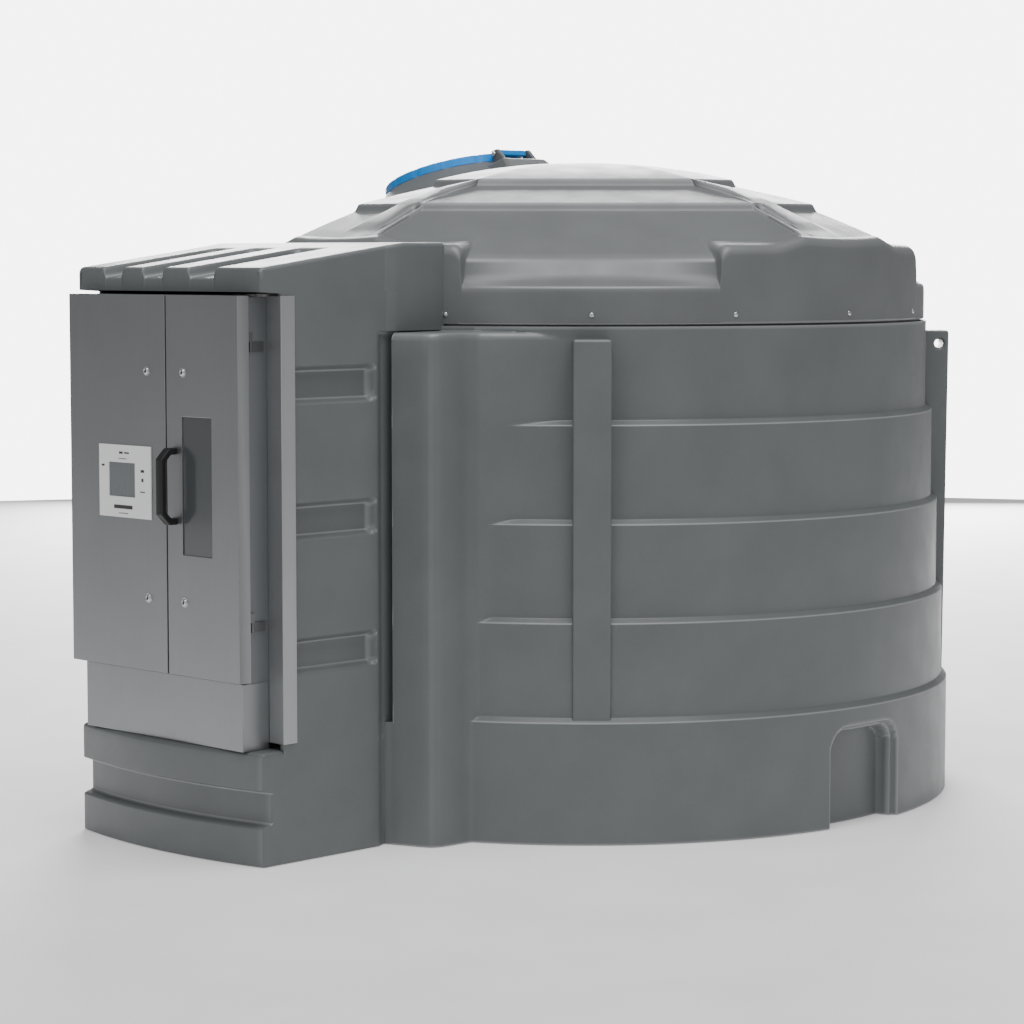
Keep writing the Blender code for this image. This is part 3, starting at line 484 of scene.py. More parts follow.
def wall_skin():
    """The whole round wall as one sheet, from one side of the cabinet round to the other."""
    arch_edge = math.degrees(ARCH_HALF / TIER_RADII[0])
    arch_stops = list(np.linspace(90 - arch_edge - 0.6, 90 + arch_edge + 0.6, 84))
    half = np.unique(np.concatenate([
        with_stops(BOX_ANGLES[-1], 34.0, 0.18, []), with_stops(34.0, BOX_OUT[0], 0.5, []),
        with_stops(BOX_OUT[0], 180.0, 1.2, arch_stops),
    ]))
    angles = np.concatenate([half, 360.0 - half[-2::-1]])
    heights = with_stops(0.0, SHOULDER_LOW, 0.045,
                         near(LEDGE_FOOT, 0.004, 7)
                         + near([foot + LEDGE_RISE for foot in LEDGE_FOOT], 0.004, 7)
                         + list(np.linspace(0.0, 0.300, 52)))
    angle, height = np.meshgrid(180.0 - np.abs(angles - 180.0), heights, indexing="ij")
    radius = tier_radius(height)
    radius = np.where(angle < BOX_OUT[0], soft_max(radius, box_radius(angle), 0.004), radius)
    radius = radius - arch_depth(np.radians(angle - 90.0) * TIER_RADII[0], height)
    top_radius = radius[:, -1]
    rim = np.full_like(top_radius, TIER_RADII[-1])
    inner = np.maximum(top_radius - SHOULDER_IN, rim)
    rows = [around(angles, radius[:, 0] - WALL, 0.0)]
    rows += [around(angles, radius[:, j], level) for j, level in enumerate(heights)]
    for turn in np.linspace(0, math.pi / 2, 6)[1:]:
        inward = SHOULDER_IN * (1 - math.cos(turn))
        upward = (SHOULDER_HIGH - SHOULDER_LOW) * math.sin(turn)
        rows.append(around(angles, np.maximum(top_radius - inward, rim), SHOULDER_LOW + upward))
    for share in (0.25, 0.5, 0.75, 0.95):
        rows.append(around(angles, inner + (rim - inner) * share, SHOULDER_HIGH + 0.002 * share))
    rows.append(around(angles, rim, SHOULDER_HIGH + 0.005))
    rows.append(around(angles, rim, TANK_RIM))
    rows.append(around(angles, rim - WALL, TANK_RIM))
    grid = np.stack(rows, axis=1)
    # The box ends against the cabinet's side below, and a finger's width short of it above
    cut = grid[0].copy()
    low = cut[:, 2] <= LEDGE_FOOT[0] + 0.001
    cut[low, :2] = BOX_END
    back = cut + np.array((0.0, 0.060, 0.0))
    mirror = np.array((-1.0, 1.0, 1.0))
    grid = np.concatenate([back[None], cut[None], grid, (cut * mirror)[None],
                           (back * mirror)[None]], axis=0)
    mesh = grid_mesh("tank_wall", grid, lambda centre: Vector((centre.x, centre.y, 0.0)))
    finish_piece("tank_wall", mesh, TANK_PLASTIC, "tank",
                 ("wall_front_right", "wall_right", "wall_back", "wall_left", "wall_front_left"),
                 sharp=50.0)


def rib_piece(name, angle, node):
    """Upright rib with rounded edges, its foot run into the lowest tier and its lifting eye."""
    work = bmesh.new()
    low, high = (-RIB_HALF, 1.000, RIB_FOOT), (RIB_HALF, RIB_FACE, RIB_TOP)
    size = Vector(high) - Vector(low)
    middle = (Vector(high) + Vector(low)) / 2
    bmesh.ops.create_cube(work, size=1.0,
                          matrix=Matrix.Translation(middle) @ Matrix.Diagonal((*size, 1.0)))
    foot_edges = [vert for vert in work.verts if vert.co.z < RIB_FOOT + 0.001 and vert.co.y > 1.05]
    for vert in foot_edges:
        vert.co.y -= 0.010
    mesh = bpy.data.meshes.new(name)
    work.to_mesh(mesh)
    work.free()
    cutter_work = bmesh.new()
    bmesh.ops.create_cone(cutter_work, cap_ends=True, segments=32, radius1=EYE_RADIUS,
                          radius2=EYE_RADIUS, depth=0.3)
    cutter_work.transform(Matrix.Translation((0.0, RIB_FACE - EYE_INSET, EYE_HEIGHT))
                          @ Matrix.Rotation(math.pi / 2, 4, "Y"))
    cutter_mesh = bpy.data.meshes.new(name + "_eye")
    cutter_work.to_mesh(cutter_mesh)
    cutter_work.free()
    cutter = bpy.data.objects.new(name + "_eye", cutter_mesh)
    bpy.context.scene.collection.objects.link(cutter)
    mesh.shade_smooth()
    body = bpy.data.objects.new(name + "_work", mesh)
    bpy.context.scene.collection.objects.link(body)
    hole = body.modifiers.new("eye", "BOOLEAN")
    hole.object = cutter
    hole.operation = "DIFFERENCE"
    edges = body.modifiers.new("edges", "BEVEL")
    edges.width = 0.009
    edges.segments = 4
    edges.angle_limit = math.radians(35)
    edges.harden_normals = True
    result = applied(body)
    bpy.data.objects.remove(cutter, do_unlink=True)
    # The working rib stands out along +Y, and 0 degrees is -Y
    result.transform(Matrix.Rotation(math.radians(angle) + math.pi, 4, "Z"))
    finish_piece(name, result, TANK_PLASTIC, "tank", (node,), sharp=None)


# Stepped cover

def facet_height(reach):
    """Height of a facet at a distance square to it, with both steps rounded."""
    total = np.zeros_like(reach)
    shifts = np.linspace(-0.003, 0.003, 7)
    for shift in shifts:
        d = reach + shift
        crown = 1.8740 - (1.66 - np.sqrt(np.maximum(1.66**2 - d**2, 0.0)))
        t = d - 0.44
        middle = 1.7965 - 0.235 * t - 0.08 * t * t
        t = d - 0.66
        outer = 1.7225 - 0.42 * t - 0.25 * t * t
        first = np.clip((d - STEP_1[0]) / (STEP_1[1] - STEP_1[0]), 0.0, 1.0)
        second = np.clip((d - STEP_2[0]) / (STEP_2[1] - STEP_2[0]), 0.0, 1.0)
        height = crown + (middle - crown) * first
        total += height + (outer - height) * second
    return total / len(shifts)


def lean_at(off_axis):
    """Share of a radius that counts as reach, at an angle off the nearest main axis."""
    facet = np.cos(np.radians(45.0 - off_axis))
    strip = STRIP_LEAN * np.cos(np.radians(off_axis))
    return np.where(off_axis > STRIP_HALF, facet, strip)


def pocket_share(angles):
    """How far a column of the cover lies in a fin's pocket, from 0 to 1."""
    beside = np.array([0.0, 80.2, 180.0, 260.2])
    total = np.zeros_like(angles)
    for start, inner in zip(beside, (8.3, 80.4, 188.3, 260.4)):
        total += ease((angles - inner) / 0.3) * ease((inner + 1.3 - angles) / 0.3)
    return total


def pocket_run(reach):
    """How far along a strip the pocket reaches, from the second step to near the block's edge."""
    return ease((reach - 0.668) / 0.012) * ease((0.815 - reach) / 0.025)


def open_under_hatch(mesh):
    """Takes away the faces that would lie across the hatch's bore."""
    work = bmesh.new()
    work.from_mesh(mesh)
    hatch = hatch_matrix().inverted()
    inside = [face for face in work.faces
              if math.hypot(*(hatch @ face.calc_center_median()).xy) < NECK_BORE + 0.020]
    bmesh.ops.delete(work, geom=inside, context="FACES")
    work.to_mesh(mesh)
    work.free()


def cover_skin():
    """The whole outside of the cover as one polar grid, open under the hatch's neck."""
    quarter = with_stops(0.0, 90.0, 0.75,
                         near((STRIP_HALF - 0.6, 90.6 - STRIP_HALF), 1.3, 17)
                         + near((BLOCK_HALF - 1, 91 - BLOCK_HALF), 1.6, 27))[:-1]
    angles = np.concatenate([quarter + base for base in (0, 90, 180, 270)])
    off_axis = np.abs((angles + 45) % 90 - 45)
    lean = lean_at(off_axis)
    block = 1.0 - ease((off_axis - BLOCK_HALF + BLOCK_BLEND) / (2 * BLOCK_BLEND))
    edge_way = np.radians(off_axis - BLOCK_HALF) * SKIRT_RADIUS + BLOCK_CORNER
    past = np.clip(edge_way, 0.0, BLOCK_CORNER)
    corner = BLOCK_CORNER - np.sqrt(BLOCK_CORNER**2 - past**2)
    reaches = with_stops(0.02, 0.700, 0.020, near((0.440, 0.660), 0.010, 11))
    rows = [around(angles, 0.0008 + 0 * lean, facet_height(0.0 * lean + 0.001))]
    pocket = pocket_share(angles)
    for reach in reaches:
        rows.append(around(angles, reach / lean, facet_height(reach + 0.0 * lean)
                           - POCKET_DEPTH * pocket * pocket_run(reach)))
    start = 0.700 / lean
    fold = np.minimum(FOLD_REACH / lean, 1.0)
    edge = fold + (1.0 - fold) * block
    for share in np.linspace(0.0, 1.0, 27)[1:]:
        radius = start + (edge - start) * share
        height = facet_height(radius * lean)
        height = height - POCKET_DEPTH * pocket * pocket_run(radius * lean)
        shelf = SHELF_HEIGHT - SHELF_DROP * (radius - SHELF_START) / (SHELF_END - SHELF_START)
        raised = soft_max(height, shelf - corner, 0.006)
        rows.append(around(angles, radius, height + (raised - height) * block))
    rows[-1][:, 2] -= FOLD_DROP * (1.0 - block)
    rows[-2][:, 2] -= 0.6 * FOLD_DROP * (1.0 - block)
    rows[-3][:, 2] -= 0.2 * FOLD_DROP * (1.0 - block)
    last_height = rows[-1][:, 2]
    for share in np.linspace(0.0, 1.0, 15)[1:]:
        slope_radius = edge + (1.032 - edge) * share
        fall = np.interp(share, [0.0, 0.40, 0.60, 1.0], [0.0, 0.56, 0.74, 1.0])
        slope_height = last_height - (last_height - SKIRT_TOP) * fall
        turn = share * math.pi / 2
        block_radius = 1.000 + 0.034 * math.sin(turn)
        block_height = last_height - 0.026 * (1 - math.cos(turn)) - 0.004 * share
        radius = slope_radius + (block_radius - slope_radius) * block
        height = slope_height + (block_height - slope_height) * block
        rows.append(around(angles, radius, height))
    upper = rows[-1][:, 2]
    for share in (0.06, 0.15, 0.3, 0.45, 0.6, 0.75, 0.9, 0.96, 0.99):
        radius = SKIRT_RADIUS - 0.001 * (share < 0.1)
        rows.append(around(angles, radius + 0 * upper, upper + (COVER_FOOT - upper) * share))
    rows.append(around(angles, SKIRT_RADIUS - 0.003 + 0 * upper, COVER_FOOT + 0 * upper))
    rows.append(around(angles, SKIRT_RADIUS - 0.010 + 0 * upper, COVER_FOOT + 0 * upper))
    rows.append(around(angles, SKIRT_RADIUS - 0.010 + 0 * upper, COVER_FOOT + 0.040 + 0 * upper))
    grid = np.stack(rows, axis=1)
    mesh = grid_mesh("cover_skin", grid, lambda centre: Vector((centre.x, centre.y, 0.4)), True)
    open_under_hatch(mesh)
    work = bmesh.new()
    work.from_mesh(mesh)
    bmesh.ops.remove_doubles(work, verts=[v for v in work.verts if math.hypot(*v.co.xy) < 0.002],
                             dist=0.002)
    bmesh.ops.recalc_face_normals(work, faces=work.faces)
    top = max(work.faces, key=lambda face: face.calc_center_median().z)
    if top.normal.z < 0:
        bmesh.ops.reverse_faces(work, faces=work.faces)
    work.to_mesh(mesh)
    work.free()
    finish_piece("cover_skin", mesh, LIT_COVER_PLASTIC, "tank", ("top_cover",),
                 sharp=60.0)


SPINE_REACH = (0.50, 0.53, 0.6525, 0.7567, 0.9089, 1.02)
SPINE_CREST = (1.8190, 1.8157, 1.7905, 1.7573, 1.6885, 1.6290)


def spine_pieces():
    """Smooth fins beside the front and the rear facet, from the first step to the blocks' edges."""
    stations = np.linspace(0.520, 1.008, 62)
    crest_y = -0.090 * (1.02 - stations) / (1.02 - 0.53)
    crest_z = np.interp(stations, SPINE_REACH, SPINE_CREST)
    foot_y = -stations * math.tan(math.radians(STRIP_HALF))
    foot_z = facet_height(np.hypot(stations, foot_y) * lean_at(np.full_like(stations, STRIP_HALF)))
    strip_z = facet_height(STRIP_LEAN * stations)
    crest_z = np.maximum(crest_z, strip_z + 0.001)
    profile = []
    lower = ease((stations - 0.790) / 0.020) * ease((1.000 - stations) / 0.030)
    for share, lift, rim in (
        (1.0, -0.008, -0.008), (0.99, 0.26, 0.008), (0.96, 0.34, 0.010), (0.93, 0.38, 0.009),
        (0.90, 0.40, -0.004), (0.86, 0.42, -0.020), (0.74, 0.86, -0.020), (0.68, 0.94, 0.55),
        (0.60, 0.97, 0.88), (0.40, 1.0, 1.0), (0.0, 1.0, 1.0),
    ):
        y = crest_y + (foot_y - crest_y) * share
        rise = crest_z - foot_z
        plain = foot_z + rise * max(lift, 0.0) + min(lift, 0.0)
        pocket = foot_z + (rise * rim if rim > 0.5 else rim)
        profile.append((y, plain + (pocket - plain) * lower))
    for across, lift in ((0.010, 0.85), (0.020, 0.45), (0.032, 0.05), (0.040, -0.4)):
        z = strip_z + (crest_z - strip_z) * lift - (0.004 if lift < 0 else 0.0)
        profile.append((crest_y + across, z))
    grid = np.stack([np.stack([stations, y, z], axis=-1) for y, z in profile], axis=1)
    turns = {"spine_right_front": (grid, False), "spine_left_rear": (grid, True)}
    mirrored = grid[..., [1, 0, 2]] * np.array((-1.0, -1.0, 1.0))
    turns |= {"spine_front_right": (mirrored, False), "spine_rear_left": (mirrored, True)}
    for name, (points, half_turn) in turns.items():
        if half_turn:
            points = points * np.array((-1.0, -1.0, 1.0))
        mesh = grid_mesh(name, points, lambda centre: Vector((0.0, 0.0, 1.0)))
        open_under_hatch(mesh)
        finish_piece(name, mesh, LIT_COVER_PLASTIC, "tank", sharp=60.0)


# Hatch

def hatch_matrix():
    return Matrix.Translation(HATCH_FOOT) @ Matrix.Rotation(-math.radians(HATCH_TILT), 4, "Y")


def turned_mesh(name, profile, steps, radius_at=None):
    """A closed profile of (radius, height) points turned round Z."""
    turns = np.linspace(0, 2 * math.pi, steps, endpoint=False)
    columns = []
    for turn in turns:
        scale = radius_at(turn) if radius_at else 1.0
        columns.append([(radius * scale * math.cos(turn), radius * scale * math.sin(turn), height)
                        for radius, height in [*profile, profile[0]]])
    mesh = grid_mesh(name, np.array(columns), lambda centre: Vector((centre.x, centre.y, 0.0)),
                     True)
    mesh = merged(mesh)
    work = bmesh.new()
    work.from_mesh(mesh)
    bmesh.ops.recalc_face_normals(work, faces=work.faces)
    if work.calc_volume(signed=True) < 0:
        bmesh.ops.reverse_faces(work, faces=work.faces)
    work.to_mesh(mesh)
    work.free()
    return mesh


def hatch_neck():
    """Flared neck under the lid, open down its bore, with a raised pad for the hinge."""
    profile = [(0.345, -0.085), (0.318, -0.062), (0.296, -0.042), (0.268, -0.018), (0.243, 0.003),
               (0.232, 0.014), (0.226, 0.020), (0.220, NECK_TOP), (0.198, NECK_TOP),
               (0.192, NECK_TOP - 0.002), (0.185, NECK_TOP - 0.002), (NECK_BORE, NECK_TOP - 0.006),
               (NECK_BORE, -0.070), (NECK_BORE + 0.010, -0.080)]
    mesh = turned_mesh("hatch_neck", profile, 96)
    mesh.transform(hatch_matrix())
    finish_piece("hatch_neck", mesh, LIT_COVER_PLASTIC, "tank", sharp=45.0)
    wide = LUG_HALF + 2 * BRACKET_THICK
    block_piece("hinge_pad", (0.205, -wide - 0.030, -0.060), (0.350, wide + 0.030, 0.0035),
                0.010, LIT_COVER_PLASTIC, "tank", hatch_matrix(),
                inset=(0.045, 0.026))


def block_piece(name, low, high, bevel, material, body, place=None, nodes=(),
                inset=(0.0, 0.0)):
    """A moulded block with rounded edges, its top drawn in on its far end and both sides."""
    low, high = Vector(low), Vector(high)
    work = bmesh.new()
    bmesh.ops.create_cube(work, size=1.0, matrix=Matrix.Translation((low + high) / 2)
                          @ Matrix.Diagonal((*(high - low), 1.0)))
    for vert in work.verts:
        if vert.co.z > (low.z + high.z) / 2:
            vert.co.x -= inset[0] * (vert.co.x > (low.x + high.x) / 2)
            vert.co.y -= math.copysign(inset[1], vert.co.y)
    mesh = bpy.data.meshes.new(name)
    work.to_mesh(mesh)
    work.free()
    mesh = bevelled(name, mesh, bevel)
    if place is not None:
        mesh.transform(place)
    return finish_piece(name, mesh, material, body, nodes, sharp=None)


def lid_grip(turn):
    """Radius factor of the lid's rim, with flat grips between shallow notches."""
    return 1.0 - 0.012 * ease(abs(((turn / (2 * math.pi)) * 14) % 1 - 0.5) * 9 - 3.4)


def hatch_fittings():
    hinge = hatch_matrix() @ Matrix.Translation((LID_HINGE_OUT, 0, NECK_TOP + LID_HINGE_UP))
    lid_at = Matrix.Translation((-LID_HINGE_OUT, 0, -LID_HINGE_UP + 0.0004))
    skirt = [(0.0005, 0.002), (0.205, 0.002), (0.212, 0.0006), (LID_RADIUS - 0.0015, 0.0006),
             (LID_RADIUS - 0.0013, -0.0050), (LID_RADIUS, -0.0045), (LID_RADIUS - 0.001, 0.016), (LID_RADIUS - 0.004, 0.0205),
             (LID_RADIUS - 0.009, LID_THICK), (LID_RADIUS - 0.030, LID_THICK),
             (LID_RADIUS - 0.034, LID_THICK - 0.003), (LID_RADIUS - 0.075, LID_THICK - 0.003),
             (LID_RADIUS - 0.080, LID_THICK + 0.000), (0.0005, LID_THICK + 0.002)]
    lid = turned_mesh("lid", skirt, 196, lid_grip)
    lid.transform(hinge @ lid_at)
    finish_piece("lid", lid, LID_PLASTIC, "hatch_lid", ("hatch_lid",), sharp=30.0)
    block_piece("lid_lug", (-0.045, -LUG_HALF, -0.0065), (0.010, LUG_HALF, 0.012), 0.004,
                LID_PLASTIC, "hatch_lid", hinge)
    for name in ("hatch_bracket_near", "hatch_bracket_far"):
        softened(name, name + "_shape", TANK_PLASTIC, "tank", 0.002)
    reach = LUG_HALF + 0.002 + BRACKET_THICK
    for name, side in (("pin_head_near", -1), ("pin_head_far", 1)):
        head = turned_mesh(name, [(0.0003, 0.0), (0.0085, 0.0), (0.0085, 0.003), (0.007, 0.0052),
                                  (0.003, 0.0060), (0.0003, 0.0060)], 6)
        head.transform(hinge @ Matrix.Translation((0, side * (reach + 0.0008), 0))
                       @ Matrix.Rotation(-side * math.pi / 2, 4, "X"))
        finish_piece(name, head, BOLT_STEEL, "tank", sharp=30.0)


# Cabinet housing

def roof_height(y):
    share = np.clip((y - HOUSING_FRONT) / (ROOF_BEND_Y - HOUSING_FRONT), 0.0, 1.0)
    return ROOF_FRONT_TOP + (ROOF_BACK_TOP - ROOF_FRONT_TOP) * share


def groove_share(x):
    total = np.zeros_like(x)
    for left, right in ROOF_GROOVES:
        total += ease((x - left) / 0.016) * ease((right - x) / 0.016)
    return total


def recess_share(y, z):
    total = np.zeros_like(y)
    corner = 0.022
    for low, high in SIDE_RECESSES:
        past_y = np.abs(y - sum(RECESS_Y) / 2) - (RECESS_Y[1] - RECESS_Y[0]) / 2 + corner
        past_z = np.abs(z - (low + high) / 2) - (high - low) / 2 + corner
        outside = np.hypot(np.maximum(past_y, 0.0), np.maximum(past_z, 0.0))
        within = np.minimum(np.maximum(past_y, past_z), 0.0)
        total += ease((corner - outside - within) / 0.017)
    return total


def side_x(y, high):
    """The side's distance from the middle, which flares out again above the tank's shoulder."""
    low_side = np.interp(y, HOUSING_BEND, (HOUSING_X, HOUSING_REAR_X))
    flared = np.interp(y, (-1.165, -1.135), (HOUSING_X, 0.391))
    return low_side + (flared - low_side) * high


def housing_skin():
    """Both sides and the grooved roof of the housing, as one sheet over the cabinet."""
    join = SIDE_FRONT + 0.002
    under = PLINTH_TOP + 0.006
    heights = with_stops(0.0, 1.480, 0.020, [0.299, under, 1.388, 1.393, *near(
        [level for pair in SIDE_RECESSES for level in (pair[0] + 0.008, pair[1] - 0.008)],
        0.011, 9)])
    fine = np.linspace(0.0, 1.0, 96)
    spots = with_stops(-HOUSING_X + EDGE_ROUND, HOUSING_X - EDGE_ROUND, 0.030, near(
        [edge for pair in ROOF_GROOVES for edge in (pair[0] + 0.008, pair[1] - 0.008)],
        0.010, 8))[::-1]
    columns = []

    def front_of(z):
        if z < PLINTH_TOP:
            return join
        return SIDE_FRONT if z < ROOF_FRONT_LOW - 0.002 else HOUSING_FRONT

    def side_column(z, side):
        front = front_of(z)
        y = np.concatenate([[front + 0.012, front, front + 0.0005, front + 0.003],
                            front + 0.004 + (HOUSING_REAR - front - 0.004) * fine])
        x = side_x(y, 1.0 if z > 1.390 else 0.0)
        x = x - RECESS_DEPTH * recess_share(y, np.full_like(y, z))
        if z >= PLINTH_TOP:
            x[:3] -= (0.012, 0.012, 0.003)
        else:
            x[0] -= 0.012
            y[0] = front
        return np.stack([side * x, y, np.full_like(y, z)], axis=-1)

    def corner_column(turn, side):
        front = HOUSING_FRONT
        y = np.concatenate([[front + 0.012, front, front + 0.0015, front + 0.005],
                            front + 0.008 + (HOUSING_REAR - front - 0.008) * fine])
        x = side_x(y, 1.0) - EDGE_ROUND * (1 - math.cos(turn))
        z = roof_height(y) - EDGE_ROUND * (1 - math.sin(turn))
        lower = np.array([0.045, 0.045, 0.006, 0.0015] + [0.0] * len(fine)) * math.sin(turn)
        inset = np.array([0.012, 0.012, 0.003, 0.001] + [0.0] * len(fine)) * math.cos(turn)
        return np.stack([side * (x - inset), y, z - lower], axis=-1)

    def roof_column(x):
        front = HOUSING_FRONT
        y = np.concatenate([[front + 0.012, front, front + 0.0015, front + 0.005],
                            front + 0.008 + (HOUSING_REAR - front - 0.008) * fine])
        fade = 1.0 - ease((y - ROOF_GROOVE_END + 0.055) / 0.060)
        z = roof_height(y) - ROOF_GROOVE_DEPTH * groove_share(np.full_like(y, x)) * fade
        level = z[4]
        z[0] = ROOF_FRONT_LOW
        z[1] = ROOF_FRONT_LOW
        z[2] = level - 0.006
        z[3] = level - 0.0015
        narrow = side_x(y, 1.0) - EDGE_ROUND
        limit = HOUSING_X - EDGE_ROUND
        return np.stack([x / limit * narrow, y, z], axis=-1)

    for z in heights:
        columns.append(side_column(z, 1))
    for z in (ROOF_FRONT_LOW - 0.004, ROOF_FRONT_LOW, 1.515, 1.530, 1.545):
        columns.append(side_column(z, 1))
    for turn in np.linspace(0, math.pi / 2, 7)[:-1]:
        columns.append(corner_column(turn, 1))
    for x in spots:
        columns.append(roof_column(x))
    for turn in np.linspace(0, math.pi / 2, 7)[:-1][::-1]:
        columns.append(corner_column(turn, -1))
    for z in (1.545, 1.530, 1.515, ROOF_FRONT_LOW, ROOF_FRONT_LOW - 0.004):
        columns.append(side_column(z, -1))
    for z in heights[::-1]:
        columns.append(side_column(z, -1))
    grid = np.stack(columns, axis=0)
    mesh = grid_mesh("housing_skin", grid, lambda centre: Vector((centre.x, 0.0, centre.z - 0.8)))
    finish_piece("housing_skin", mesh, TANK_PLASTIC, "tank",
                 ("housing_side_left", "housing_side_right", "housing_roof"), sharp=50.0)


def plinth_path(offset, inset):
    """Plan of the plinth's front from its right side round to its left, moved back by offset."""
    join = SIDE_FRONT + 0.002
    round_edge = 0.005
    front = HOUSING_FRONT - 0.004 + offset
    half = HOUSING_X - inset
    right = [(half, join), (half, (join + front + round_edge) / 2)]
    for turn in np.linspace(0, math.pi / 2, 8):
        right.append((half - round_edge * (1 - math.cos(turn)),
                      front + round_edge * (1 - math.sin(turn))))
    xs = np.linspace(half - round_edge, -half + round_edge, 41)[1:-1]
    bow = [(x, front - HOUSING_BOW * (1 - (x / (half - round_edge)) ** 2)) for x in xs]
    left = [(-x, y) for x, y in right[::-1]]
    return np.array(right + bow + left)


def plinth_skin():
    low, high = PLINTH_GROOVE
    levels = with_stops(0.0, PLINTH_TOP - 0.012, 0.02, near((low + 0.01, high - 0.01), 0.016, 13))
    rows = [plinth_path(0.012, 0.012)]
    zs = [0.0]
    for level in levels:
        depth = PLINTH_GROOVE_DEPTH * ease((level - low) / 0.012) * ease((high - level) / 0.012)
        rows.append(plinth_path(depth, 0.0))
        zs.append(level)
    for turn in np.linspace(0, math.pi / 2, 6)[1:]:
        inset = 0.012 * (1 - math.cos(turn))
        rows.append(plinth_path(inset, inset))
        zs.append(PLINTH_TOP - 0.012 * (1 - math.sin(turn)))
    shelf = plinth_path(0.012, 0.012)
    shelf[:, 1] = np.maximum(shelf[:, 1] + 0.12, SIDE_FRONT)
    shelf[:, 0] *= 0.95
    rows.append(shelf)
    zs.append(PLINTH_TOP)
    grid = np.stack([np.concatenate([row, np.full((len(row), 1), z)], axis=1)
                     for row, z in zip(rows, zs)], axis=1)
    mesh = grid_mesh("plinth_skin", grid, lambda centre: Vector((centre.x, centre.y + 1.3, 0.0)))
    finish_piece("plinth_skin", mesh, TANK_PLASTIC, "tank", ("plinth",),
                 sharp=50.0)
    block_piece("plinth_shelf", (-0.370, -1.600, 0.285), (0.370, -1.205, 0.2995), 0.002,
                TANK_PLASTIC, "tank")


# Screws and bolts

def screw_tree():
    """Geometry nodes that set a ring of button-head screws into a round wall."""
    tree = bpy.data.node_groups.new("screw_ring", "GeometryNodeTree")
    tree.interface.new_socket("Geometry", in_out="OUTPUT", socket_type="NodeSocketGeometry")
    for label, kind in (("Count", "NodeSocketInt"), ("First angle", "NodeSocketFloat"),
                        ("Step angle", "NodeSocketFloat"), ("Radius", "NodeSocketFloat"),
                        ("Height", "NodeSocketFloat"), ("Head radius", "NodeSocketFloat"),
                        ("Finish", "NodeSocketMaterial")):
        tree.interface.new_socket(label, in_out="INPUT", socket_type=kind)
    nodes, links = tree.nodes, tree.links
    given, result = nodes.new("NodeGroupInput"), nodes.new("NodeGroupOutput")
    line = nodes.new("GeometryNodeMeshLine")
    links.new(given.outputs["Count"], line.inputs["Count"])
    index = nodes.new("GeometryNodeInputIndex")
    angle = nodes.new("ShaderNodeMath")
    angle.operation = "MULTIPLY_ADD"
    links.new(index.outputs[0], angle.inputs[0])
    links.new(given.outputs["Step angle"], angle.inputs[1])
    links.new(given.outputs["First angle"], angle.inputs[2])
    place = nodes.new("ShaderNodeCombineXYZ")
    for operation, axis, sign in (("SINE", 0, 1.0), ("COSINE", 1, -1.0)):
        wave = nodes.new("ShaderNodeMath")
        wave.operation = operation
        links.new(angle.outputs[0], wave.inputs[0])
        reach = nodes.new("ShaderNodeMath")
        reach.operation = "MULTIPLY"
        links.new(wave.outputs[0], reach.inputs[0])
        links.new(given.outputs["Radius"], reach.inputs[1])
        turned = nodes.new("ShaderNodeMath")
        turned.operation = "MULTIPLY"
        turned.inputs[1].default_value = sign
        links.new(reach.outputs[0], turned.inputs[0])
        links.new(turned.outputs[0], place.inputs[axis])
    links.new(given.outputs["Height"], place.inputs[2])
    moved = nodes.new("GeometryNodeSetPosition")
    links.new(line.outputs["Mesh"], moved.inputs["Geometry"])
    links.new(place.outputs[0], moved.inputs["Position"])
    turn = nodes.new("ShaderNodeCombineXYZ")
    turn.inputs[0].default_value = math.pi / 2
    links.new(angle.outputs[0], turn.inputs[2])
    head = nodes.new("GeometryNodeMeshUVSphere")
    head.inputs["Segments"].default_value = 20
    head.inputs["Rings"].default_value = 8
    links.new(given.outputs["Head radius"], head.inputs["Radius"])
    flat = nodes.new("GeometryNodeTransform")
    flat.inputs["Scale"].default_value = (1.0, 1.0, 0.55)
    links.new(head.outputs["Mesh"], flat.inputs["Geometry"])
    copies = nodes.new("GeometryNodeInstanceOnPoints")
    links.new(moved.outputs["Geometry"], copies.inputs["Points"])
    links.new(flat.outputs["Geometry"], copies.inputs["Instance"])
    links.new(turn.outputs[0], copies.inputs["Rotation"])
    real = nodes.new("GeometryNodeRealizeInstances")
    links.new(copies.outputs["Instances"], real.inputs["Geometry"])
    paint = nodes.new("GeometryNodeSetMaterial")
    links.new(real.outputs["Geometry"], paint.inputs["Geometry"])
    links.new(given.outputs["Finish"], paint.inputs["Material"])
    links.new(paint.outputs["Geometry"], result.inputs["Geometry"])
    return tree


def cover_screws():
    """Fifteen screws round the foot of the cover, on a sixteen-step ring with the step at the cabinet left out.
    """
    tree = screw_tree()
    carrier = bpy.data.objects.new("screw_carrier", bpy.data.meshes.new("screw_carrier"))
    bpy.context.scene.collection.objects.link(carrier)
    modifier = carrier.modifiers.new("screws", "NODES")
    modifier.node_group = tree
    values = {"Count": 15, "First angle": math.radians(22.5), "Step angle": math.radians(22.5),
              "Radius": SKIRT_RADIUS, "Height": 1.434, "Head radius": 0.0075,
              "Finish": BOLT_STEEL}
    for item in tree.interface.items_tree:
        if item.in_out == "INPUT" and item.name in values:
            modifier[item.identifier] = values[item.name]
    mesh = applied(carrier)
    finish_piece("cover_screws", mesh, BOLT_STEEL, "tank", sharp=60.0)


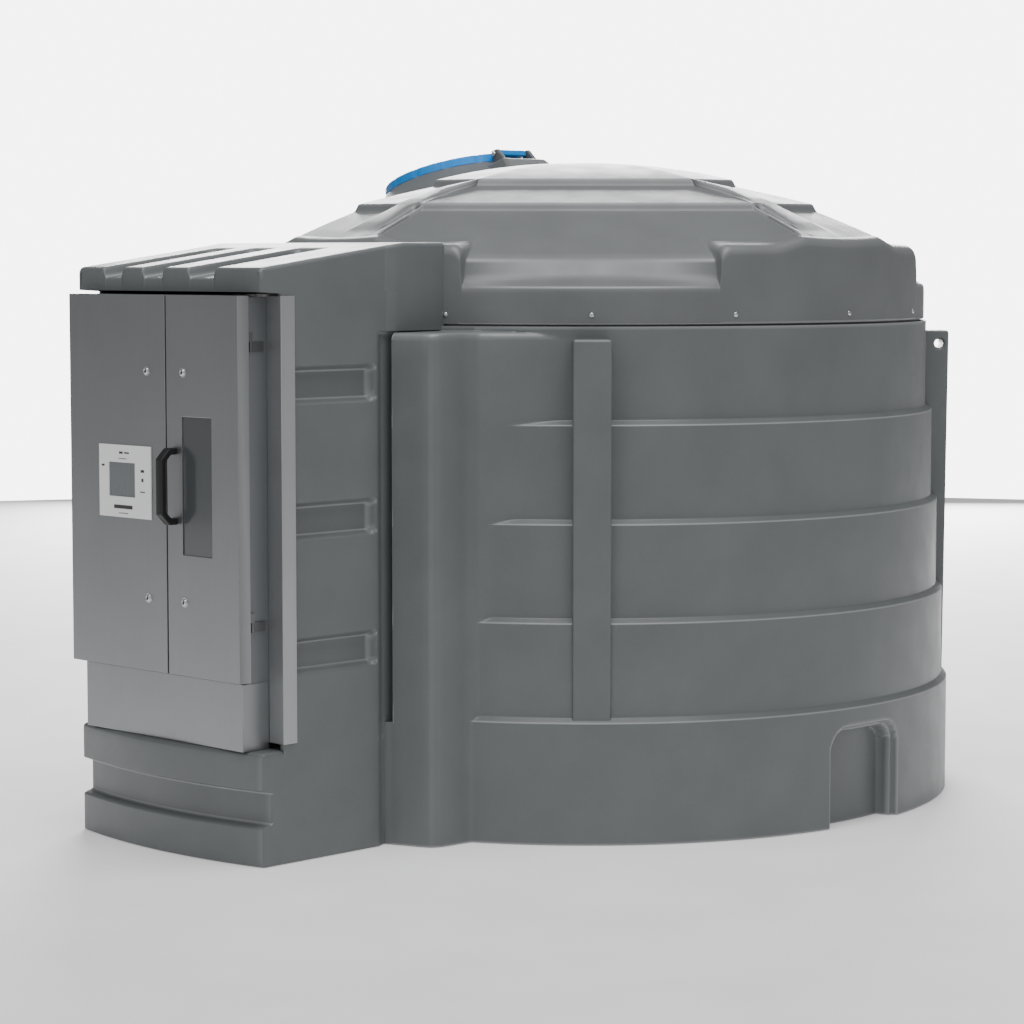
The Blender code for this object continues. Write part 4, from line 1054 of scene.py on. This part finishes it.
def door_bolts():
    """Button heads with a six-sided socket on the door leaves, on a thin washer; the socket is a near-black
    six-sided plate in the head's dimple, painted shade.
    """
    for leaf, body, x in (("left", "left_door", -0.019), ("right", "right_door", 0.133)):
        for level, z in (("upper", 1.288), ("lower", 0.681)):
            name = f"bolt_{leaf}_{level}"
            profile = [(0.0035, 0.0040), (0.0060, 0.0066), (0.0078, 0.0058), (0.0096, 0.0036),
                       (0.0102, 0.0014), (0.0102, 0.0012), (0.0130, 0.0012), (0.0132, 0.0006),
                       (0.0132, -0.001), (0.0030, -0.001), (0.0030, 0.0030)]
            head = turned_mesh(name, profile, 36)
            head.transform(Matrix.Translation((x, -1.660, z))
                           @ Matrix.Rotation(math.pi / 2, 4, "X"))
            finish_piece(name, head, BOLT_STEEL, body, sharp=30.0)
            # Painted shade: a near-black six-sided plate sits just under the head's dimple, standing in for the
            # shade deep in the socket.
            socket = turned_mesh(name + "_socket", [(0.0003, 0.0028), (0.0048, 0.0028),
                                                    (0.0048, 0.0018), (0.0003, 0.0018)], 6)
            socket.transform(Matrix.Translation((x, -1.6620, z))
                             @ Matrix.Rotation(math.pi / 2, 4, "X"))
            finish_piece(name + "_socket", socket, MARKS_AND_SOCKET_SHADE, body, sharp=30.0)


# Printed marks on the faceplate: bars only, no words

def faceplate_marks():
    plane_y = -1.6646
    marks = ((-0.128, 1.0660, 0.016, 0.0060), (-0.104, 1.0660, 0.022, 0.0040),
             (-0.206, 1.0300, 0.012, 0.0050), (-0.120, 1.0500, 0.034, 0.0018),
             (-0.036, 1.0200, 0.014, 0.0070), (-0.036, 0.9960, 0.008, 0.0090),
             (-0.036, 0.9640, 0.022, 0.0026), (-0.120, 0.9200, 0.080, 0.0100),
             (-0.120, 0.9030, 0.040, 0.0018))
    work = bmesh.new()
    for x, z, wide, high in marks:
        matrix = (Matrix.Translation((x, plane_y, z))
                  @ Matrix.Diagonal((wide, 0.0004, high, 1.0)))
        bmesh.ops.create_cube(work, size=1.0, matrix=matrix)
    mesh = bpy.data.meshes.new("faceplate_marks")
    work.to_mesh(mesh)
    work.free()
    finish_piece("faceplate_marks", mesh, MARKS_AND_SOCKET_SHADE, "left_door", sharp=30.0)


def paint_node(node, material):
    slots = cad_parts[node].material_slots
    if not slots:
        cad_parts[node].data.materials.append(material)
    for entry in slots:
        entry.material = material


def cabinet_metal():
    softened("left_door", "left_leaf", STEEL, "left_door", 0.0012, 2, sharp=20.0)
    softened("right_door", "right_leaf", STEEL, "right_door", 0.0012, 2, sharp=20.0)
    softened("lower_panel", "lower_front", STEEL, "tank", 0.0012, 2, sharp=20.0)
    softened("flange_left", "frame_strip_left", LIT_STRIP_STEEL, "tank", 0.0010, 2, sharp=20.0)
    softened("flange_right", "frame_strip_right", LIT_STRIP_STEEL, "tank", 0.0010, 2, sharp=20.0)
    softened("door_handle", "pull_handle", HANDLE_PLASTIC, "right_door", 0.0035, 3)
    softened("display_panel", "faceplate_sheet", FACEPLATE, "left_door", 0.0006, 2, sharp=20.0)
    for node, material in (
        ("window_pane", GLASS), ("display_screen", SCREEN), ("hatch_pin", HINGE_STEEL),
        ("enclosure_back", INNER_STEEL), ("enclosure_floor", INNER_STEEL),
        ("enclosure_side_left", INNER_STEEL), ("enclosure_side_right", INNER_STEEL),
        ("enclosure_top", INNER_STEEL), ("bay_back_wall", TANK_PLASTIC),
        ("bay_wall_left", TANK_PLASTIC), ("bay_wall_right", TANK_PLASTIC),
        ("rim_ring", TANK_PLASTIC), ("tank_floor", TANK_PLASTIC),
    ):
        paint_node(node, material)
    for level in ("upper", "lower"):
        for side in ("left", "right"):
            paint_node(f"hinge_{side}_{level}", HINGE_STEEL)
            paint_node(f"knuckle_{side}_{level}", HINGE_STEEL)


# Floor, light and camera

FLOOR_RADIUS = 11.0
ROOM_LIGHT = 0.30
BACKDROP_GLOW = 6.0


def studio():
    work = bmesh.new()
    bmesh.ops.create_circle(work, cap_ends=True, segments=96, radius=FLOOR_RADIUS)
    mesh = bpy.data.meshes.new("studio_floor")
    work.to_mesh(mesh)
    work.free()
    mesh.materials.append(FLOOR)
    floor = bpy.data.objects.new("studio_floor", mesh)
    floor.location.z = -0.002
    bpy.context.scene.collection.objects.link(floor)
    world = bpy.data.worlds.new("studio_light")
    bpy.context.scene.world = world
    world.use_nodes = True
    tree = world.node_tree
    tree.nodes["Background"].inputs["Color"].default_value = (1.0, 1.0, 1.0, 1.0)
    path = tree.nodes.new("ShaderNodeLightPath")
    strength = tree.nodes.new("ShaderNodeMath")
    strength.operation = "MULTIPLY_ADD"
    strength.inputs[1].default_value = BACKDROP_GLOW
    strength.inputs[2].default_value = ROOM_LIGHT
    connect(tree, path, "Is Camera Ray", strength, 0)
    connect(tree, strength, 0, tree.nodes["Background"], "Strength")
    for name, place, aim, size, power in (
        ("overhead", (1.5, -1.3, 6.5), (0.0, 0.0, 1.0), 4.0, 330.0),
        ("behind", (-6.5, 7.0, 3.6), (0.0, 0.0, 1.5), 6.5, 2200.0),
        ("key", (7.0, -3.0, 4.0), (0.0, 0.0, 0.9), 4.0, 40.0),
        ("fill", (1.5, -8.5, 3.5), (0.0, -1.4, 0.6), 3.0, 50.0),
    ):
        lamp = bpy.data.lights.new(name, "AREA")
        lamp.size = size
        lamp.energy = power
        obj = bpy.data.objects.new(name, lamp)
        obj.location = place
        direction = Vector(aim) - Vector(place)
        obj.rotation_euler = direction.to_track_quat("-Z", "Y").to_euler()
        bpy.context.scene.collection.objects.link(obj)


CAMERA_PLACE = Vector((6.216, -6.573, 1.585))
CAMERA_AZIMUTH = 43.4
CAMERA_YAW = -1.3318
CAMERA_PITCH = 4.882
CAMERA_LENS = 104.12


def photo_camera():
    lens = bpy.data.cameras.new("photo_camera")
    lens.lens = CAMERA_LENS
    lens.sensor_width = 36.0
    lens.clip_end = 200.0
    azimuth, yaw, pitch = (math.radians(v) for v in (CAMERA_AZIMUTH, CAMERA_YAW, CAMERA_PITCH))
    across = Vector((math.cos(azimuth), math.sin(azimuth), 0.0))
    ahead = Vector((-math.sin(azimuth), math.cos(azimuth), 0.0))
    up = Vector((0.0, 0.0, 1.0))
    forward = (across * math.sin(yaw) * math.cos(pitch) + ahead * math.cos(yaw) * math.cos(pitch)
               - up * math.sin(pitch))
    right = across * math.cos(yaw) - ahead * math.sin(yaw)
    above = right.cross(forward)
    turn = Matrix((right, above, -forward)).transposed().to_4x4()
    camera = bpy.data.objects.new("photo_camera", lens)
    camera.matrix_world = Matrix.Translation(CAMERA_PLACE) @ turn
    bpy.context.scene.collection.objects.link(camera)
    bpy.context.scene.camera = camera


def main():
    photo_camera()
    studio()
    wall_skin()
    for name, angle in (("front_right", 45), ("back_right", 135), ("back_left", 225),
                        ("front_left", 315)):
        rib_piece("upright_rib_" + name, angle, "rib_" + name)
    cover_skin()
    spine_pieces()
    hatch_neck()
    hatch_fittings()
    housing_skin()
    plinth_skin()
    cabinet_metal()
    cover_screws()
    door_bolts()
    faceplate_marks()


main()
